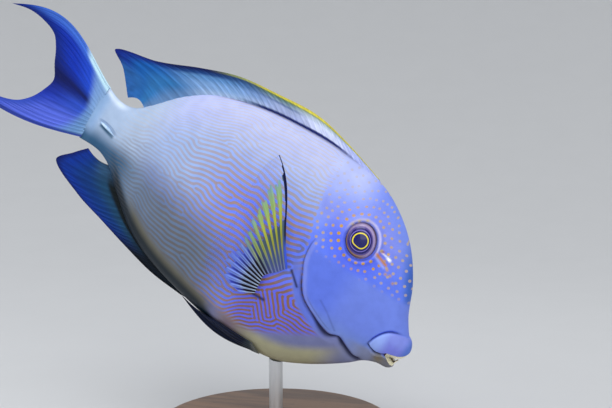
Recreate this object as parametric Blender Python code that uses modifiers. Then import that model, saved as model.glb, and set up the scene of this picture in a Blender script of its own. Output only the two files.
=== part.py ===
"""A bristletooth surgeonfish, life size and still, swimming head down on a display stand.

World frame: metres, +Z up, the fish's right flank towards -Y and its head towards +X.
The fish is described in its own level frame: s runs back from the snout tip, h runs up
from it, and w runs out from the middle plane. place() turns those into the world.
"""
import math

import bmesh
import bpy
from mathutils import Matrix, Vector

MM = 0.001
GAP = 0.3

# Driving sizes of the animal, in millimetres and degrees.
PITCH = 33.0
EYE_AT = (35.9, 28.1)
EYE_HALF = (5.8, 6.9, 4.0)
EYE_BULGE = 1.5
ORBIT_RIM = 1.3
ORBIT_RISE = 1.9
ORBIT_SINK = 0.9
NOSTRILS = ((24.9, 27.7, 0.75), (27.6, 28.6, 0.6))
NOSTRIL_DEPTH = 1.0
NOSTRIL_ASPECT = 0.8
NOSTRIL_SINK = 0.2
LIP_AT = (7.2, 1.8)
LIP_HALF = (7.5, 6.1, 4.7)
LIP_LIFT = 10.0
SPINE_AT = (138.2, 6.2)
SPINE_HALF = (3.8, 0.85, 0.9)
SPINE_SINK = 0.1
SPINE_LEAN = 43.0
MOUTH_CORNER = 14.0
CHIN_DEPTH = 4.6
GILL_LIFT = 0.7
GILL_LIFT_FROM = 0.55
GILL_SEARCH_END = 60.0
GILL_SEARCH_STEPS = 40
MOUTH_OVERLAP = 0.05
GILL_PARTING = 0.45
TAIL_START = 129.0
TAIL_END = 146.0
BACK_FULLNESS = 0.16

# The stand.
BASE_RADIUS = 43.0
BASE_HEIGHT = 8.0
BASE_EDGE = 1.2
ROD_RADIUS = 2.5
ROD_UNDER = 39.0
CHIN_CLEARANCE = 22.0

# Outlines of the level fish as (s, h) or (s, size) pairs.
BACK_LINE = ((0.9, 3.4), (1.6, 5.2), (4.0, 7.6), (8.1, 13.4), (12.7, 23.0), (20.6, 33.6), (29.7, 41.2),
             (40.8, 46.6), (56.0, 48.7), (70.0, 48.6), (91.8, 45.5), (109.1, 39.8), (120.0, 32.2),
             (129.0, 22.4), (134.0, 17.8), (140.0, 16.7), (148.0, 19.0))
BELLY_LINE = ((12.5, -10.2), (16.2, -14.0), (22.8, -19.6), (29.9, -24.7), (38.0, -29.2), (48.0, -31.5),
              (60.8, -32.3), (80.6, -30.3), (99.5, -26.6), (112.0, -21.4), (123.8, -12.7),
              (131.0, -6.6), (138.0, -3.8), (148.0, -4.2))
LIP_EDGE = ((4.0, 1.2), (6.7, 0.4), (10.2, -0.8), (14.0, -1.6))
TEETH_LINE = ((1.0, 0.2), (3.0, -0.6), (6.0, -1.7), (9.0, -2.2))
HALF_WIDTH = ((0.9, 1.6), (3.0, 3.4), (8.0, 5.2), (14.0, 6.6), (20.0, 8.2), (28.0, 10.2), (36.0, 11.7),
              (46.0, 13.1), (60.0, 13.6), (76.0, 12.9), (95.0, 10.9), (110.0, 8.3), (122.0, 5.9),
              (132.0, 4.3), (140.0, 3.3), (148.0, 2.3))
GILL_EDGE = ((-24.0, 21.5), (-18.0, 23.0), (-12.0, 25.5), (-7.0, 30.0), (-3.0, 37.0), (1.6, 42.4),
             (6.7, 46.2), (11.0, 48.3), (20.6, 49.2), (35.0, 49.0), (50.0, 45.0))
JAW_RIM = ((2.9, -5.6), (4.5, -4.4), (6.4, -3.5), (8.5, -3.9), (11.0, -3.9), (13.7, -3.0))
JAW_CHIN = ((2.9, -6.6), (4.5, -7.3), (8.1, -7.9), (12.5, -10.2), (13.7, -11.2))
JAW_WIDTH = ((2.9, 1.8), (4.5, 3.3), (8.0, 4.7), (13.7, 5.9))

# Arcs of teeth: half angle, then front, depth and half width of the arc.
UPPER_ARC = (62.0, 1.7, 7.0, 4.2)
LOWER_ARC = (55.0, 3.5, 5.0, 3.4)
TEETH = 10
TOOTH_LENGTH = 2.2
TOOTH_ROOT = 0.38
TOOTH_TIP = 0.24

# Fins: how far along the row of rays, then (s, h) of that ray's root or tip.
DORSAL_BASE = (42.0, 131.0)
DORSAL_TIPS = ((0.00, 44.0, 47.9), (0.12, 60.0, 52.0), (0.27, 75.0, 54.2), (0.42, 91.0, 52.4),
               (0.57, 106.5, 49.7), (0.70, 120.5, 44.2), (0.82, 136.0, 37.0), (0.91, 152.0, 32.0),
               (0.955, 145.8, 27.6), (1.00, 138.5, 19.4))
ANAL_BASE = (78.0, 131.0)
ANAL_TIPS = ((0.00, 82.0, -31.8), (0.20, 96.0, -30.4), (0.40, 110.0, -29.2), (0.60, 124.0, -27.7),
             (0.75, 137.0, -24.6), (0.86, 150.6, -17.2), (0.93, 145.0, -11.2), (1.00, 138.8, -6.4))
CAUDAL_BASE = (18.4, -3.4)
CAUDAL_TIPS = ((0.00, 193.0, 25.4), (0.10, 187.0, 26.7), (0.20, 181.2, 26.0), (0.30, 175.3, 22.7),
               (0.38, 172.1, 18.2), (0.46, 169.4, 12.9), (0.53, 167.2, 8.6), (0.60, 168.5, 3.5),
               (0.70, 171.4, -2.0), (0.80, 176.0, -6.2), (0.90, 184.0, -8.8), (1.00, 195.0, -11.2))
CAUDAL_CUP = 7.0
FORK_AT = 0.53
PECTORAL_BASE = ((0.00, 51.8, 6.1), (0.25, 54.2, 2.7), (0.50, 57.4, -0.9), (0.75, 57.3, -4.8),
                 (1.00, 57.0, -8.7))
PECTORAL_TIPS = ((0.00, 73.6, 40.2), (0.12, 76.2, 33.6), (0.35, 76.6, 18.6), (0.55, 76.4, 7.0),
                 (0.70, 78.2, -0.3), (0.82, 77.3, -7.2), (0.92, 72.4, -12.2), (1.00, 63.4, -12.4))
PECTORAL_FLARE = (10.5, 4.0)
PECTORAL_LEAN = 22.0
PECTORAL_ROOT = 0.9
PELVIC_BASE = ((44.6, -29.8), (48.5, -27.2))
PELVIC_TIPS = ((0.00, 80.5, -29.9), (0.35, 75.0, -30.2), (0.70, 68.5, -29.4), (1.00, 62.5, -27.9))
PELVIC_APART = 3.6
PELVIC_CLEAR = 1.15

# Per fin: rays, rows from root to edge, then half thickness at the root, of a ray and of the web.
DORSAL = (36, 4, 0.62, 0.34, 0.25)
ANAL = (28, 4, 0.58, 0.32, 0.25)
CAUDAL_LOBE = (9, 7, 0.95, 0.32, 0.25)
PECTORAL = (16, 5, 0.72, 0.32, 0.25)
PELVIC = (6, 6, 0.6, 0.34, 0.26)

# How far each fin's rays bow out between root and tip.
DORSAL_BOW = 1.6
ANAL_BOW = 1.2
UPPER_LOBE_BOW = 6.4
LOWER_LOBE_BOW = 3.4
PECTORAL_BOW = 1.0
LEADING_RAY_BOW = 4.4
LEADING_SHARE = 0.3
PELVIC_BOW = 3.9
FIN_CLEARANCE = 0.4
WEB_ROOT_SHARE = 0.6
THINNING = 1.15
CUP_POWER = 1.3
FLARE_POWER = 0.9
PECTORAL_RISE = 0.5

# Rings of the body solids.
BODY_SIDES = 40
HEAD_FRONT = (4.0, 5.4, 7.6, 10.4, 14.0)
HEAD_STEPS = 11
TORSO_STEPS = 17
TAIL_STEPS = 6
JAW_STATIONS = (2.9, 3.6, 4.8, 6.7, 9.0, 11.4, 13.7)
JAW_SIDES = 16
JAW_SQUARENESS = 0.8

# Segments and rings of the rounded parts, and the sharpest edge that is still shaded smooth.
EYE_FINENESS = (20, 12)
RIM_FINENESS = (20, 8)
SPINE_FINENESS = (12, 8)
NOSTRIL_FINENESS = (8, 6)
TOOTH_SIDES = 4
BASE_SIDES = 64
ROD_SIDES = 20
BELLY_SEARCH_STEP = 0.02
SMOOTH_ANGLE = 40.0

COLOURS = {
    "skin": (0.30, 0.34, 0.62),
    "belly_skin": (0.28, 0.30, 0.36),
    "dorsal": (0.02, 0.07, 0.24),
    "anal": (0.01, 0.05, 0.20),
    "caudal": (0.05, 0.12, 0.48),
    "pectoral": (0.30, 0.36, 0.24),
    "eye": (0.03, 0.02, 0.10),
    "spine": (0.35, 0.45, 0.70),
    "base": (0.16, 0.09, 0.05),
    "rod": (0.55, 0.55, 0.55),
}


def curve(points, x):
    """Smooth curve through (x, y) points: a cubic between each pair."""
    xs = [p[0] for p in points]
    ys = [p[1] for p in points]
    if x <= xs[0]:
        return ys[0]
    if x >= xs[-1]:
        return ys[-1]
    i = max(k for k in range(len(xs) - 1) if xs[k] <= x)

    def slope(k):
        lo = max(k - 1, 0)
        hi = min(k + 1, len(xs) - 1)
        return (ys[hi] - ys[lo]) / (xs[hi] - xs[lo])

    step = xs[i + 1] - xs[i]
    t = (x - xs[i]) / step
    a = 2 * t ** 3 - 3 * t ** 2 + 1
    b = t ** 3 - 2 * t ** 2 + t
    c = -2 * t ** 3 + 3 * t ** 2
    d = t ** 3 - t ** 2
    return a * ys[i] + b * step * slope(i) + c * ys[i + 1] + d * step * slope(i + 1)


def blend(a, b, t):
    return a + (b - a) * t


def along_row(row, a):
    """Place (s, h) of the ray at fraction a of a row of roots or tips."""
    return curve([(p[0], p[1]) for p in row], a), curve([(p[0], p[2]) for p in row], a)


def belly_height(s):
    return curve(BELLY_LINE, s)


def section(s, angle):
    """Height and half width of the body at distance s, at an angle up from its middle."""
    top = curve(BACK_LINE, s)
    low = belly_height(s)
    rise = math.sin(angle)
    fullness = 1.0 + BACK_FULLNESS * rise
    out = max(math.cos(angle), 0.0) ** fullness
    return (top + low) / 2 + (top - low) / 2 * rise, curve(HALF_WIDTH, s) * out


def flank_width(s, h):
    """Half width of the body at a point of the flank."""
    top = curve(BACK_LINE, s)
    low = belly_height(s)
    rise = max(-1.0, min(1.0, (h - (top + low) / 2) / ((top - low) / 2)))
    return section(s, math.asin(rise))[1]


SNOUT = Vector((
    ROD_UNDER * math.cos(math.radians(PITCH)) - belly_height(ROD_UNDER) * math.sin(math.radians(PITCH)),
    0.0,
    BASE_HEIGHT + CHIN_CLEARANCE + CHIN_DEPTH))


def place(s, h, w):
    """A point of the level fish, in world metres. Positive w is the right flank."""
    turn = math.radians(PITCH)
    x = SNOUT.x - s * math.cos(turn) + h * math.sin(turn)
    z = SNOUT.z + s * math.sin(turn) + h * math.cos(turn)
    return Vector((x, -w, z)) * MM


def flank_point(s, h, side):
    """A point of the flank, and the unit direction straight out of it."""
    step = 0.5
    here = place(s, h, side * flank_width(s, h))
    along = place(s - step, h, side * flank_width(s - step, h)) - here
    upward = place(s, h + step, side * flank_width(s, h + step)) - here
    out = along.cross(upward).normalized()
    if out.y * side > 0:
        out = -out
    return here, out


def link(collection, name, mesh, colour, roughness=0.45, metallic=0.0):
    obj = bpy.data.objects.new(name, mesh)
    collection.objects.link(obj)
    material = bpy.data.materials.new(name)
    material.use_nodes = True
    shader = material.node_tree.nodes["Principled BSDF"]
    shader.inputs["Base Color"].default_value = (*COLOURS[colour], 1.0)
    shader.inputs["Roughness"].default_value = roughness
    shader.inputs["Metallic"].default_value = metallic
    mesh.materials.append(material)
    return obj


def mesh_of(bm, name):
    bmesh.ops.recalc_face_normals(bm, faces=bm.faces)
    mesh = bpy.data.meshes.new(name)
    bm.to_mesh(mesh)
    bm.free()
    mesh.shade_smooth()
    mesh.set_sharp_from_angle(angle=math.radians(SMOOTH_ANGLE))
    return mesh


def loft(name, rings):
    """Closed solid through mirror-symmetric rings that start at the top and go round."""
    bm = bmesh.new()
    rows = [[bm.verts.new(p) for p in ring] for ring in rings]
    count = len(rows[0])
    half = count // 2
    for row, following in zip(rows, rows[1:]):
        for j in range(count):
            k = (j + 1) % count
            bm.faces.new((row[j], row[k], following[k], following[j]))
    for row in (rows[0], rows[-1]):
        bm.faces.new((row[0], row[1], row[-1]))
        for j in range(1, half - 1):
            bm.faces.new((row[j], row[j + 1], row[count - j - 1], row[count - j]))
        bm.faces.new((row[half - 1], row[half], row[half + 1]))
    return mesh_of(bm, name)


def body_ring(station, lift=0.0, low_line=None):
    """Ring of the body whose distance from the snout may depend on the angle."""
    ring = []
    for j in range(BODY_SIDES):
        turn = math.pi / 2 - 2 * math.pi * j / BODY_SIDES
        angle = math.asin(max(-1.0, min(1.0, math.sin(turn))))
        s = station(angle)
        h, w = section(s, angle)
        if low_line is not None:
            top = curve(BACK_LINE, s)
            low = curve(low_line, s)
            h = (top + low) / 2 + (top - low) / 2 * math.sin(angle)
        side = 1.0 if j < BODY_SIDES / 2 else -1.0
        ring.append(place(s, h, side * (w + lift * math.cos(angle))))
    return ring


def gill_station(angle):
    """Where the gill opening lies at this angle round the body."""
    low, high = MOUTH_CORNER, GILL_SEARCH_END
    for _ in range(GILL_SEARCH_STEPS):
        mid = (low + high) / 2
        if mid < curve(GILL_EDGE, section(mid, angle)[0]):
            low = mid
        else:
            high = mid
    return (low + high) / 2


def ellipsoid(name, centre, axes, radii, fineness):
    """Ellipsoid with its three half sizes along three given directions."""
    bm = bmesh.new()
    segments, rings = fineness
    bmesh.ops.create_uvsphere(bm, u_segments=segments, v_segments=rings, radius=1.0)
    turn = Matrix([[axes[c][r] for c in range(3)] for r in range(3)])
    size = Matrix.Diagonal(Vector(radii) * MM)
    bm.transform(Matrix.Translation(centre) @ (turn @ size).to_4x4())
    return mesh_of(bm, name)


def flank_ellipsoid(name, s, h, side, radii, sink, fineness, lean=0.0):
    """Ellipsoid on the flank: long half size at a lean down from level, upright one, depth."""
    here, out = flank_point(s, h, side)
    level = Vector((math.cos(math.radians(lean)), 0.0, -math.sin(math.radians(lean))))
    level = (level - out * level.dot(out)).normalized()
    upright = out.cross(level)
    return ellipsoid(name, here - out * sink * MM, (level, upright, out), radii, fineness)


def enclosed(faces):
    """Signed volume inside a closed set of faces."""
    total = 0.0
    for face in faces:
        corners = [vert.co for vert in face.verts]
        for one, two in zip(corners[1:], corners[2:]):
            total += corners[0].dot(one.cross(two)) / 6
    return total


def largest_piece(mesh):
    """Keeps only the closed surface that holds the most room."""
    bm = bmesh.new()
    bm.from_mesh(mesh)
    left = set(bm.faces)
    pieces = []
    while left:
        stack = [left.pop()]
        piece = []
        while stack:
            face = stack.pop()
            piece.append(face)
            for edge in face.edges:
                for other in edge.link_faces:
                    if other in left:
                        left.remove(other)
                        stack.append(other)
        pieces.append(piece)
    pieces.sort(key=enclosed)
    bmesh.ops.delete(bm, geom=[f for piece in pieces[:-1] for f in piece], context="FACES")
    bm.to_mesh(mesh)
    bm.free()


def apply_boolean(obj, operation, collection):
    """Joins or cuts obj with every mesh of a collection, once and for all."""
    modifier = obj.modifiers.new(operation.lower(), "BOOLEAN")
    modifier.operation = operation
    modifier.operand_type = "COLLECTION"
    modifier.collection = collection
    bpy.context.view_layer.update()
    evaluated = obj.evaluated_get(bpy.context.evaluated_depsgraph_get())
    mesh = bpy.data.meshes.new_from_object(evaluated)
    obj.modifiers.clear()
    obj.data = mesh
    largest_piece(mesh)


def scratch_collection(name, meshes):
    group = bpy.data.collections.new(name)
    bpy.context.scene.collection.children.link(group)
    for number, mesh in enumerate(meshes):
        obj = bpy.data.objects.new(f"{name}_{number}", mesh)
        group.objects.link(obj)
    return group


def drop_collection(group):
    for obj in list(group.objects):
        bpy.data.objects.remove(obj)
    bpy.data.collections.remove(group)


def keep_as_cutters(cutters, group):
    """Moves a used group of cutters to the collection that holds them all."""
    for obj in list(group.objects):
        cutters.objects.link(obj)
        obj.hide_render = True
        obj.display_type = "WIRE"
        group.objects.unlink(obj)
    bpy.data.collections.remove(group)


def tooth(s, h, w, sign):
    """A slim flat tooth: its root is sunk in the lip and its tip is free."""
    bm = bmesh.new()
    bmesh.ops.create_cone(bm, cap_ends=True, segments=TOOTH_SIDES, radius1=TOOTH_ROOT, radius2=TOOTH_TIP,
                          depth=TOOTH_LENGTH)
    lean = Matrix.Rotation(math.radians(PITCH), 4, "Y")
    flip = Matrix.Rotation(math.pi if sign < 0 else 0.0, 4, "X")
    bm.transform(lean @ flip)
    bm.transform(Matrix.Scale(MM, 4))
    bm.transform(Matrix.Translation(place(s, h, w)))
    return mesh_of(bm, "tooth")


def tooth_row(line, arc, sign):
    """Teeth round the front of a jaw, from one side to the other."""
    half_arc, front, depth, half_width = arc
    teeth = []
    for i in range(TEETH):
        angle = math.radians(-half_arc + 2 * half_arc * i / (TEETH - 1))
        s = front + depth * (1 - math.cos(angle))
        teeth.append(tooth(s, curve(line, s), half_width * math.sin(angle), sign))
    return teeth


def make_head(fish, cutters):
    rings = [body_ring(lambda angle, s=s: s, low_line=LIP_EDGE) for s in HEAD_FRONT]
    for i in range(HEAD_STEPS + 1):
        share = i / HEAD_STEPS
        lift = GILL_LIFT * max(0.0, share - GILL_LIFT_FROM) / (1 - GILL_LIFT_FROM)

        def station(angle, share=share):
            return blend(MOUTH_CORNER + MOUTH_OVERLAP, gill_station(angle), share)
        rings.append(body_ring(station, lift=lift))
    head = link(fish, "head", loft("head", rings), "skin")

    lip_turn = math.radians(PITCH - LIP_LIFT)
    forward = Vector((math.cos(lip_turn), 0.0, -math.sin(lip_turn)))
    upward = Vector((math.sin(lip_turn), 0.0, math.cos(lip_turn)))
    lip = ellipsoid("lip", place(*LIP_AT, 0.0), (forward, Vector((0.0, 1.0, 0.0)), upward),
                    LIP_HALF, EYE_FINENESS)
    rims = []
    for side in (1, -1):
        rim = (EYE_HALF[0] + ORBIT_RIM, EYE_HALF[1] + ORBIT_RIM, ORBIT_RISE)
        rims.append(flank_ellipsoid("rim", *EYE_AT, side, rim, ORBIT_SINK, RIM_FINENESS))
    joined = scratch_collection("joined", [lip, *rims, *tooth_row(TEETH_LINE, UPPER_ARC, -1)])
    apply_boolean(head, "UNION", joined)
    drop_collection(joined)

    cuts = []
    for side in (1, -1):
        cuts.append(eye_mesh("socket", side, GAP))
        for s, h, size in NOSTRILS:
            radii = (size, size * NOSTRIL_ASPECT, NOSTRIL_DEPTH)
            cuts.append(flank_ellipsoid("nostril", s, h, side, radii, NOSTRIL_SINK, NOSTRIL_FINENESS))
    group = scratch_collection("head_cuts", cuts)
    apply_boolean(head, "DIFFERENCE", group)
    keep_as_cutters(cutters, group)


def eye_mesh(name, side, swell):
    radii = [r + swell for r in EYE_HALF]
    return flank_ellipsoid(name, *EYE_AT, side, radii, EYE_HALF[2] - EYE_BULGE, EYE_FINENESS)


def squared(x):
    """Sine or cosine that makes a round ring a little square."""
    return math.copysign(abs(x) ** JAW_SQUARENESS, x)


def make_jaw(fish):
    rings = []
    for s in JAW_STATIONS:
        top, low, wide = curve(JAW_RIM, s), curve(JAW_CHIN, s), curve(JAW_WIDTH, s)
        ring = []
        for j in range(JAW_SIDES):
            turn = math.pi / 2 - 2 * math.pi * j / JAW_SIDES
            h = (top + low) / 2 + (top - low) / 2 * squared(math.sin(turn))
            on_middle = abs(math.cos(turn)) < 1e-9
            ring.append(place(s, h, 0.0 if on_middle else wide * squared(math.cos(turn))))
        rings.append(ring)
    jaw = link(fish, "lower_jaw", loft("lower_jaw", rings), "belly_skin")
    joined = scratch_collection("joined", tooth_row(JAW_RIM, LOWER_ARC, 1))
    apply_boolean(jaw, "UNION", joined)
    drop_collection(joined)


def make_torso(fish):
    rings = []
    for i in range(TORSO_STEPS + 1):
        share = i / TORSO_STEPS

        def station(angle, share=share):
            return blend(gill_station(angle) + GILL_PARTING, TAIL_START, share)
        rings.append(body_ring(station))
    link(fish, "torso", loft("torso", rings), "skin")


def make_tail(fish, cutters):
    rings = []
    for i in range(TAIL_STEPS + 1):
        s = blend(TAIL_START + GAP, TAIL_END, i / TAIL_STEPS)
        rings.append(body_ring(lambda angle, s=s: s))
    tail = link(fish, "tail_stalk", loft("tail_stalk", rings), "skin")
    group = scratch_collection("tail_cuts", [spine_mesh("groove", side, GAP) for side in (1, -1)])
    apply_boolean(tail, "DIFFERENCE", group)
    keep_as_cutters(cutters, group)


def spine_mesh(name, side, swell):
    """The folded spine of the tail stalk, pointing forward in its groove."""
    radii = [r + swell for r in SPINE_HALF]
    return flank_ellipsoid(name, *SPINE_AT, side, radii, SPINE_SINK, SPINE_FINENESS, lean=SPINE_LEAN)


def make_spine(fish, side):
    name = "tail_spine_right" if side > 0 else "tail_spine_left"
    link(fish, name, spine_mesh(name, side, 0.0), "spine", roughness=0.3)


def fin_mesh(name, make, point, spread=Vector((0.0, 1.0, 0.0))):
    """A fin with its rays raised as ridges on both faces of the membrane.

    make holds the fin's numbers, point(a, v) gives the middle surface for a ray at fraction
    a of the row, at v from root to edge, and spread is the direction of its thickness.
    """
    rays, rows, root, ray_edge, web_edge = make
    bm = bmesh.new()
    columns = 2 * rays - 1
    faces = ([], [])
    for i in range(columns):
        a = i / (columns - 1)
        for side in (0, 1):
            column = []
            for k in range(rows + 1):
                v = k / rows
                edge = ray_edge if i % 2 == 0 else web_edge
                near_root = root if i % 2 == 0 else max(web_edge, root * WEB_ROOT_SHARE)
                half = blend(near_root, edge, min(1.0, v * THINNING)) * (1 if side == 0 else -1)
                column.append(bm.verts.new(point(a, v) + spread * half * MM))
            faces[side].append(column)

    def sheet(columns_of_side):
        for left, right in zip(columns_of_side, columns_of_side[1:]):
            for k in range(rows):
                bm.faces.new((left[k], right[k], right[k + 1]))
                bm.faces.new((left[k], right[k + 1], left[k + 1]))

    def band(one, other):
        for k in range(len(one) - 1):
            bm.faces.new((one[k], one[k + 1], other[k + 1]))
            bm.faces.new((one[k], other[k + 1], other[k]))

    sheet(faces[0])
    sheet(faces[1])
    band(faces[0][0], faces[1][0])
    band(faces[0][-1], faces[1][-1])
    band([c[0] for c in faces[0]], [c[0] for c in faces[1]])
    band([c[-1] for c in faces[0]], [c[-1] for c in faces[1]])
    return mesh_of(bm, name)


def make_dorsal(fish):
    def point(a, v):
        s = blend(*DORSAL_BASE, a)
        tip_s, tip_h = along_row(DORSAL_TIPS, a)
        h = curve(BACK_LINE, s) + FIN_CLEARANCE
        bow = DORSAL_BOW * math.sin(math.pi * v) * a
        return place(blend(s, tip_s, v), blend(h, tip_h, v) + bow, 0.0)
    link(fish, "dorsal_fin", fin_mesh("dorsal_fin", DORSAL, point), "dorsal")


def make_anal(fish):
    def point(a, v):
        s = blend(*ANAL_BASE, a)
        tip_s, tip_h = along_row(ANAL_TIPS, a)
        h = belly_height(s) - FIN_CLEARANCE
        bow = ANAL_BOW * math.sin(math.pi * v) * a
        return place(blend(s, tip_s, v), blend(h, tip_h, v) - bow, 0.0)
    link(fish, "anal_fin", fin_mesh("anal_fin", ANAL, point), "anal")


def make_caudal(fish, name, start, end, parting):
    """One lobe of the tail fin: the rays from start to end of the row, clear of the other."""
    def point(share, v):
        a = blend(start, end, share)
        h = blend(*CAUDAL_BASE, a)
        tip_s, tip_h = along_row(CAUDAL_TIPS, a)
        outward = 1 - 2 * a
        bow = UPPER_LOBE_BOW if outward > 0 else LOWER_LOBE_BOW
        bow *= outward * abs(outward) * math.sin(math.pi * v)
        cup = CAUDAL_CUP * outward ** 2 * v ** CUP_POWER
        clear = parting * (1 - abs(a - FORK_AT))
        return place(blend(TAIL_END + FIN_CLEARANCE, tip_s, v), blend(h, tip_h, v) + bow + clear, cup)
    link(fish, name, fin_mesh(name, CAUDAL_LOBE, point), "caudal")


def make_pectoral(fish, side):
    name = "pectoral_fin_right" if side > 0 else "pectoral_fin_left"

    def point(a, v):
        s, h = along_row(PECTORAL_BASE, a)
        w = flank_width(s, h) + GAP + PECTORAL_ROOT
        tip_s, tip_h = along_row(PECTORAL_TIPS, a)
        out = blend(*PECTORAL_FLARE, a) * v ** FLARE_POWER
        front = max(1 - a / LEADING_SHARE, 0.0)
        bow = blend(PECTORAL_BOW * (1 - 2 * a), LEADING_RAY_BOW * v ** 2, front) * math.sin(math.pi * v)
        return place(blend(s, tip_s, v) - bow, blend(h, tip_h, v) + bow * PECTORAL_RISE, side * (w + out))

    lean, turn = math.radians(PECTORAL_LEAN), math.radians(PITCH)
    back = Vector((-math.cos(turn), 0.0, math.sin(turn)))
    spread = Vector((0.0, side * math.cos(lean), 0.0)) + back * math.sin(lean)
    link(fish, name, fin_mesh(name, PECTORAL, point, spread), "pectoral")


def make_pelvic(fish, side):
    """A pelvic fin folded back: it lies along the belly's flank and hangs just under it."""
    name = "pelvic_fin_right" if side > 0 else "pelvic_fin_left"
    front, rear = PELVIC_BASE

    def point(a, v):
        tip_s, tip_h = along_row(PELVIC_TIPS, a)
        bow = PELVIC_BOW * (1 - a) * math.sin(math.pi * v)
        s = blend(blend(front[0], rear[0], a), tip_s, v)
        h = blend(blend(front[1], rear[1], a), tip_h, v) - bow
        return place(s, h, side * max(flank_width(s, h) + PELVIC_CLEAR, PELVIC_APART))
    link(fish, name, fin_mesh(name, PELVIC, point), "anal")


def make_eye(fish, side):
    name = "eye_right" if side > 0 else "eye_left"
    link(fish, name, eye_mesh(name, side, 0.0), "eye", roughness=0.08)


def upright_disc(radius, height, sides):
    """A cylinder that stands on the ground plane."""
    bm = bmesh.new()
    bmesh.ops.create_cone(bm, cap_ends=True, segments=sides, radius1=radius * MM,
                          radius2=radius * MM, depth=height * MM)
    bm.transform(Matrix.Translation((0.0, 0.0, height / 2 * MM)))
    return bm


def make_stand(fish):
    """A round base, and a rod whose top is cut at the belly's slope and stops under it."""
    disc = upright_disc(BASE_RADIUS, BASE_HEIGHT, BASE_SIDES)
    base = link(fish, "stand_base", mesh_of(disc, "stand_base"), "base", roughness=0.35)
    edge = base.modifiers.new("edge", "BEVEL")
    edge.width = BASE_EDGE * MM
    edge.segments = 2
    edge.limit_method = "ANGLE"

    rod = upright_disc(ROD_RADIUS, CHIN_CLEARANCE, ROD_SIDES)
    behind, ahead = under_belly(-ROD_RADIUS), under_belly(ROD_RADIUS)
    for vert in rod.verts:
        if vert.co.z < MM:
            vert.co.z = (BASE_HEIGHT + GAP) * MM
        else:
            vert.co.z = blend(behind, ahead, (vert.co.x / MM / ROD_RADIUS + 1) / 2) * MM
    link(fish, "stand_rod", mesh_of(rod, "stand_rod"), "rod", roughness=0.3, metallic=1.0)


def under_belly(x):
    """Height just under the belly's middle line, in millimetres."""
    turn = math.radians(PITCH)
    z = BASE_HEIGHT
    while True:
        s = (SNOUT.x - x) * math.cos(turn) + (z - SNOUT.z) * math.sin(turn)
        h = (z - SNOUT.z) * math.cos(turn) - (SNOUT.x - x) * math.sin(turn)
        if s > BELLY_LINE[0][0] and h > belly_height(s):
            return z - FIN_CLEARANCE
        z += BELLY_SEARCH_STEP


def main():
    for obj in list(bpy.data.objects):
        bpy.data.objects.remove(obj)
    scene = bpy.context.scene.collection
    fish = bpy.data.collections.new("bristletooth_surgeonfish")
    scene.children.link(fish)
    cutters = bpy.data.collections.new("cutters")
    scene.children.link(cutters)
    make_head(fish, cutters)
    make_jaw(fish)
    make_torso(fish)
    make_tail(fish, cutters)
    make_dorsal(fish)
    make_anal(fish)
    make_caudal(fish, "caudal_fin_upper", 0.0, FORK_AT, GAP / 2)
    make_caudal(fish, "caudal_fin_lower", FORK_AT, 1.0, -GAP / 2)
    for side in (1, -1):
        make_eye(fish, side)
        make_pectoral(fish, side)
        make_pelvic(fish, side)
        make_spine(fish, side)
    make_stand(fish)


main()
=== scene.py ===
"""Looks of the bristletooth surgeonfish on its display stand.

The fish is described in its own level frame in millimetres: s runs back from the snout
tip, h runs up from it and w runs out from the middle plane. to_world() turns that into
the frame's metres. The skin is one surface over head, jaw, torso and tail stalk; its wavy
lines and dots grow from a pattern equation solved on the unrolled flank.
"""

import math

import bmesh
import bpy
import numpy as np
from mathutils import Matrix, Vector


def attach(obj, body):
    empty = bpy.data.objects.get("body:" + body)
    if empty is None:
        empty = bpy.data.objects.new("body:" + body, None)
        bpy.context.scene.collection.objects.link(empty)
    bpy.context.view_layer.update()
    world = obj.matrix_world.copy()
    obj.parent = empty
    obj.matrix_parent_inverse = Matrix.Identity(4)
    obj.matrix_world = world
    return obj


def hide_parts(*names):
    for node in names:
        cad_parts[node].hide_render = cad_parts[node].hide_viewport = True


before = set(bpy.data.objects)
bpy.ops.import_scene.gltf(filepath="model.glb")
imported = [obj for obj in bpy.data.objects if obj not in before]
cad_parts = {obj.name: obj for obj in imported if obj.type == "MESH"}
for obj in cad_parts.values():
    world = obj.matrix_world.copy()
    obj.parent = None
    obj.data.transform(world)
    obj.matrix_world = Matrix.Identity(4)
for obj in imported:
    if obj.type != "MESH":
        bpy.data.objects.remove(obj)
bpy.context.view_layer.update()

MM = 0.001
PITCH = math.radians(33.0)
BASE_HEIGHT = 8.0
CHIN_CLEARANCE = 22.0
CHIN_DEPTH = 4.6
ROD_UNDER = 39.0

BACK_LINE = ((0.35, 1.6), (0.6, 2.4), (1.0, 3.5), (1.7, 4.9), (2.4, 5.8), (3.8, 7.2), (5.2, 8.9),
             (8.1, 13.4), (12.7, 23.0), (20.6, 33.6), (29.7, 41.2), (40.8, 46.6), (56.0, 48.7), (70.0, 48.6),
             (91.8, 45.5), (109.1, 39.8), (120.0, 32.2), (129.0, 22.4), (134.0, 17.8), (140.0, 16.7),
             (148.0, 19.0))
BELLY_LINE = ((0.35, 0.8), (0.7, -0.6), (1.3, -2.6), (2.0, -4.6), (2.9, -6.3), (4.5, -7.3), (8.1, -7.9),
              (12.5, -10.2), (16.2, -14.0), (22.8, -19.6), (29.9, -24.7), (38.0, -29.2), (48.0, -31.5),
              (60.8, -32.3), (80.6, -30.3), (99.5, -26.6), (112.0, -21.4), (123.8, -12.7), (131.0, -6.6),
              (138.0, -3.8), (148.0, -4.2))
HALF_WIDTH = ((0.35, 0.4), (0.7, 1.6), (1.3, 2.5), (2.4, 3.4), (4.0, 4.2), (8.0, 5.2), (14.0, 6.6),
              (20.0, 8.2), (28.0, 10.2), (36.0, 11.7), (46.0, 13.1), (60.0, 13.6), (76.0, 12.9),
              (95.0, 10.9), (110.0, 8.3), (122.0, 5.9), (132.0, 4.3), (140.0, 3.3), (148.0, 2.3))
SKIN_END = 147.0
SKIN_COLUMNS = 320
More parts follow.
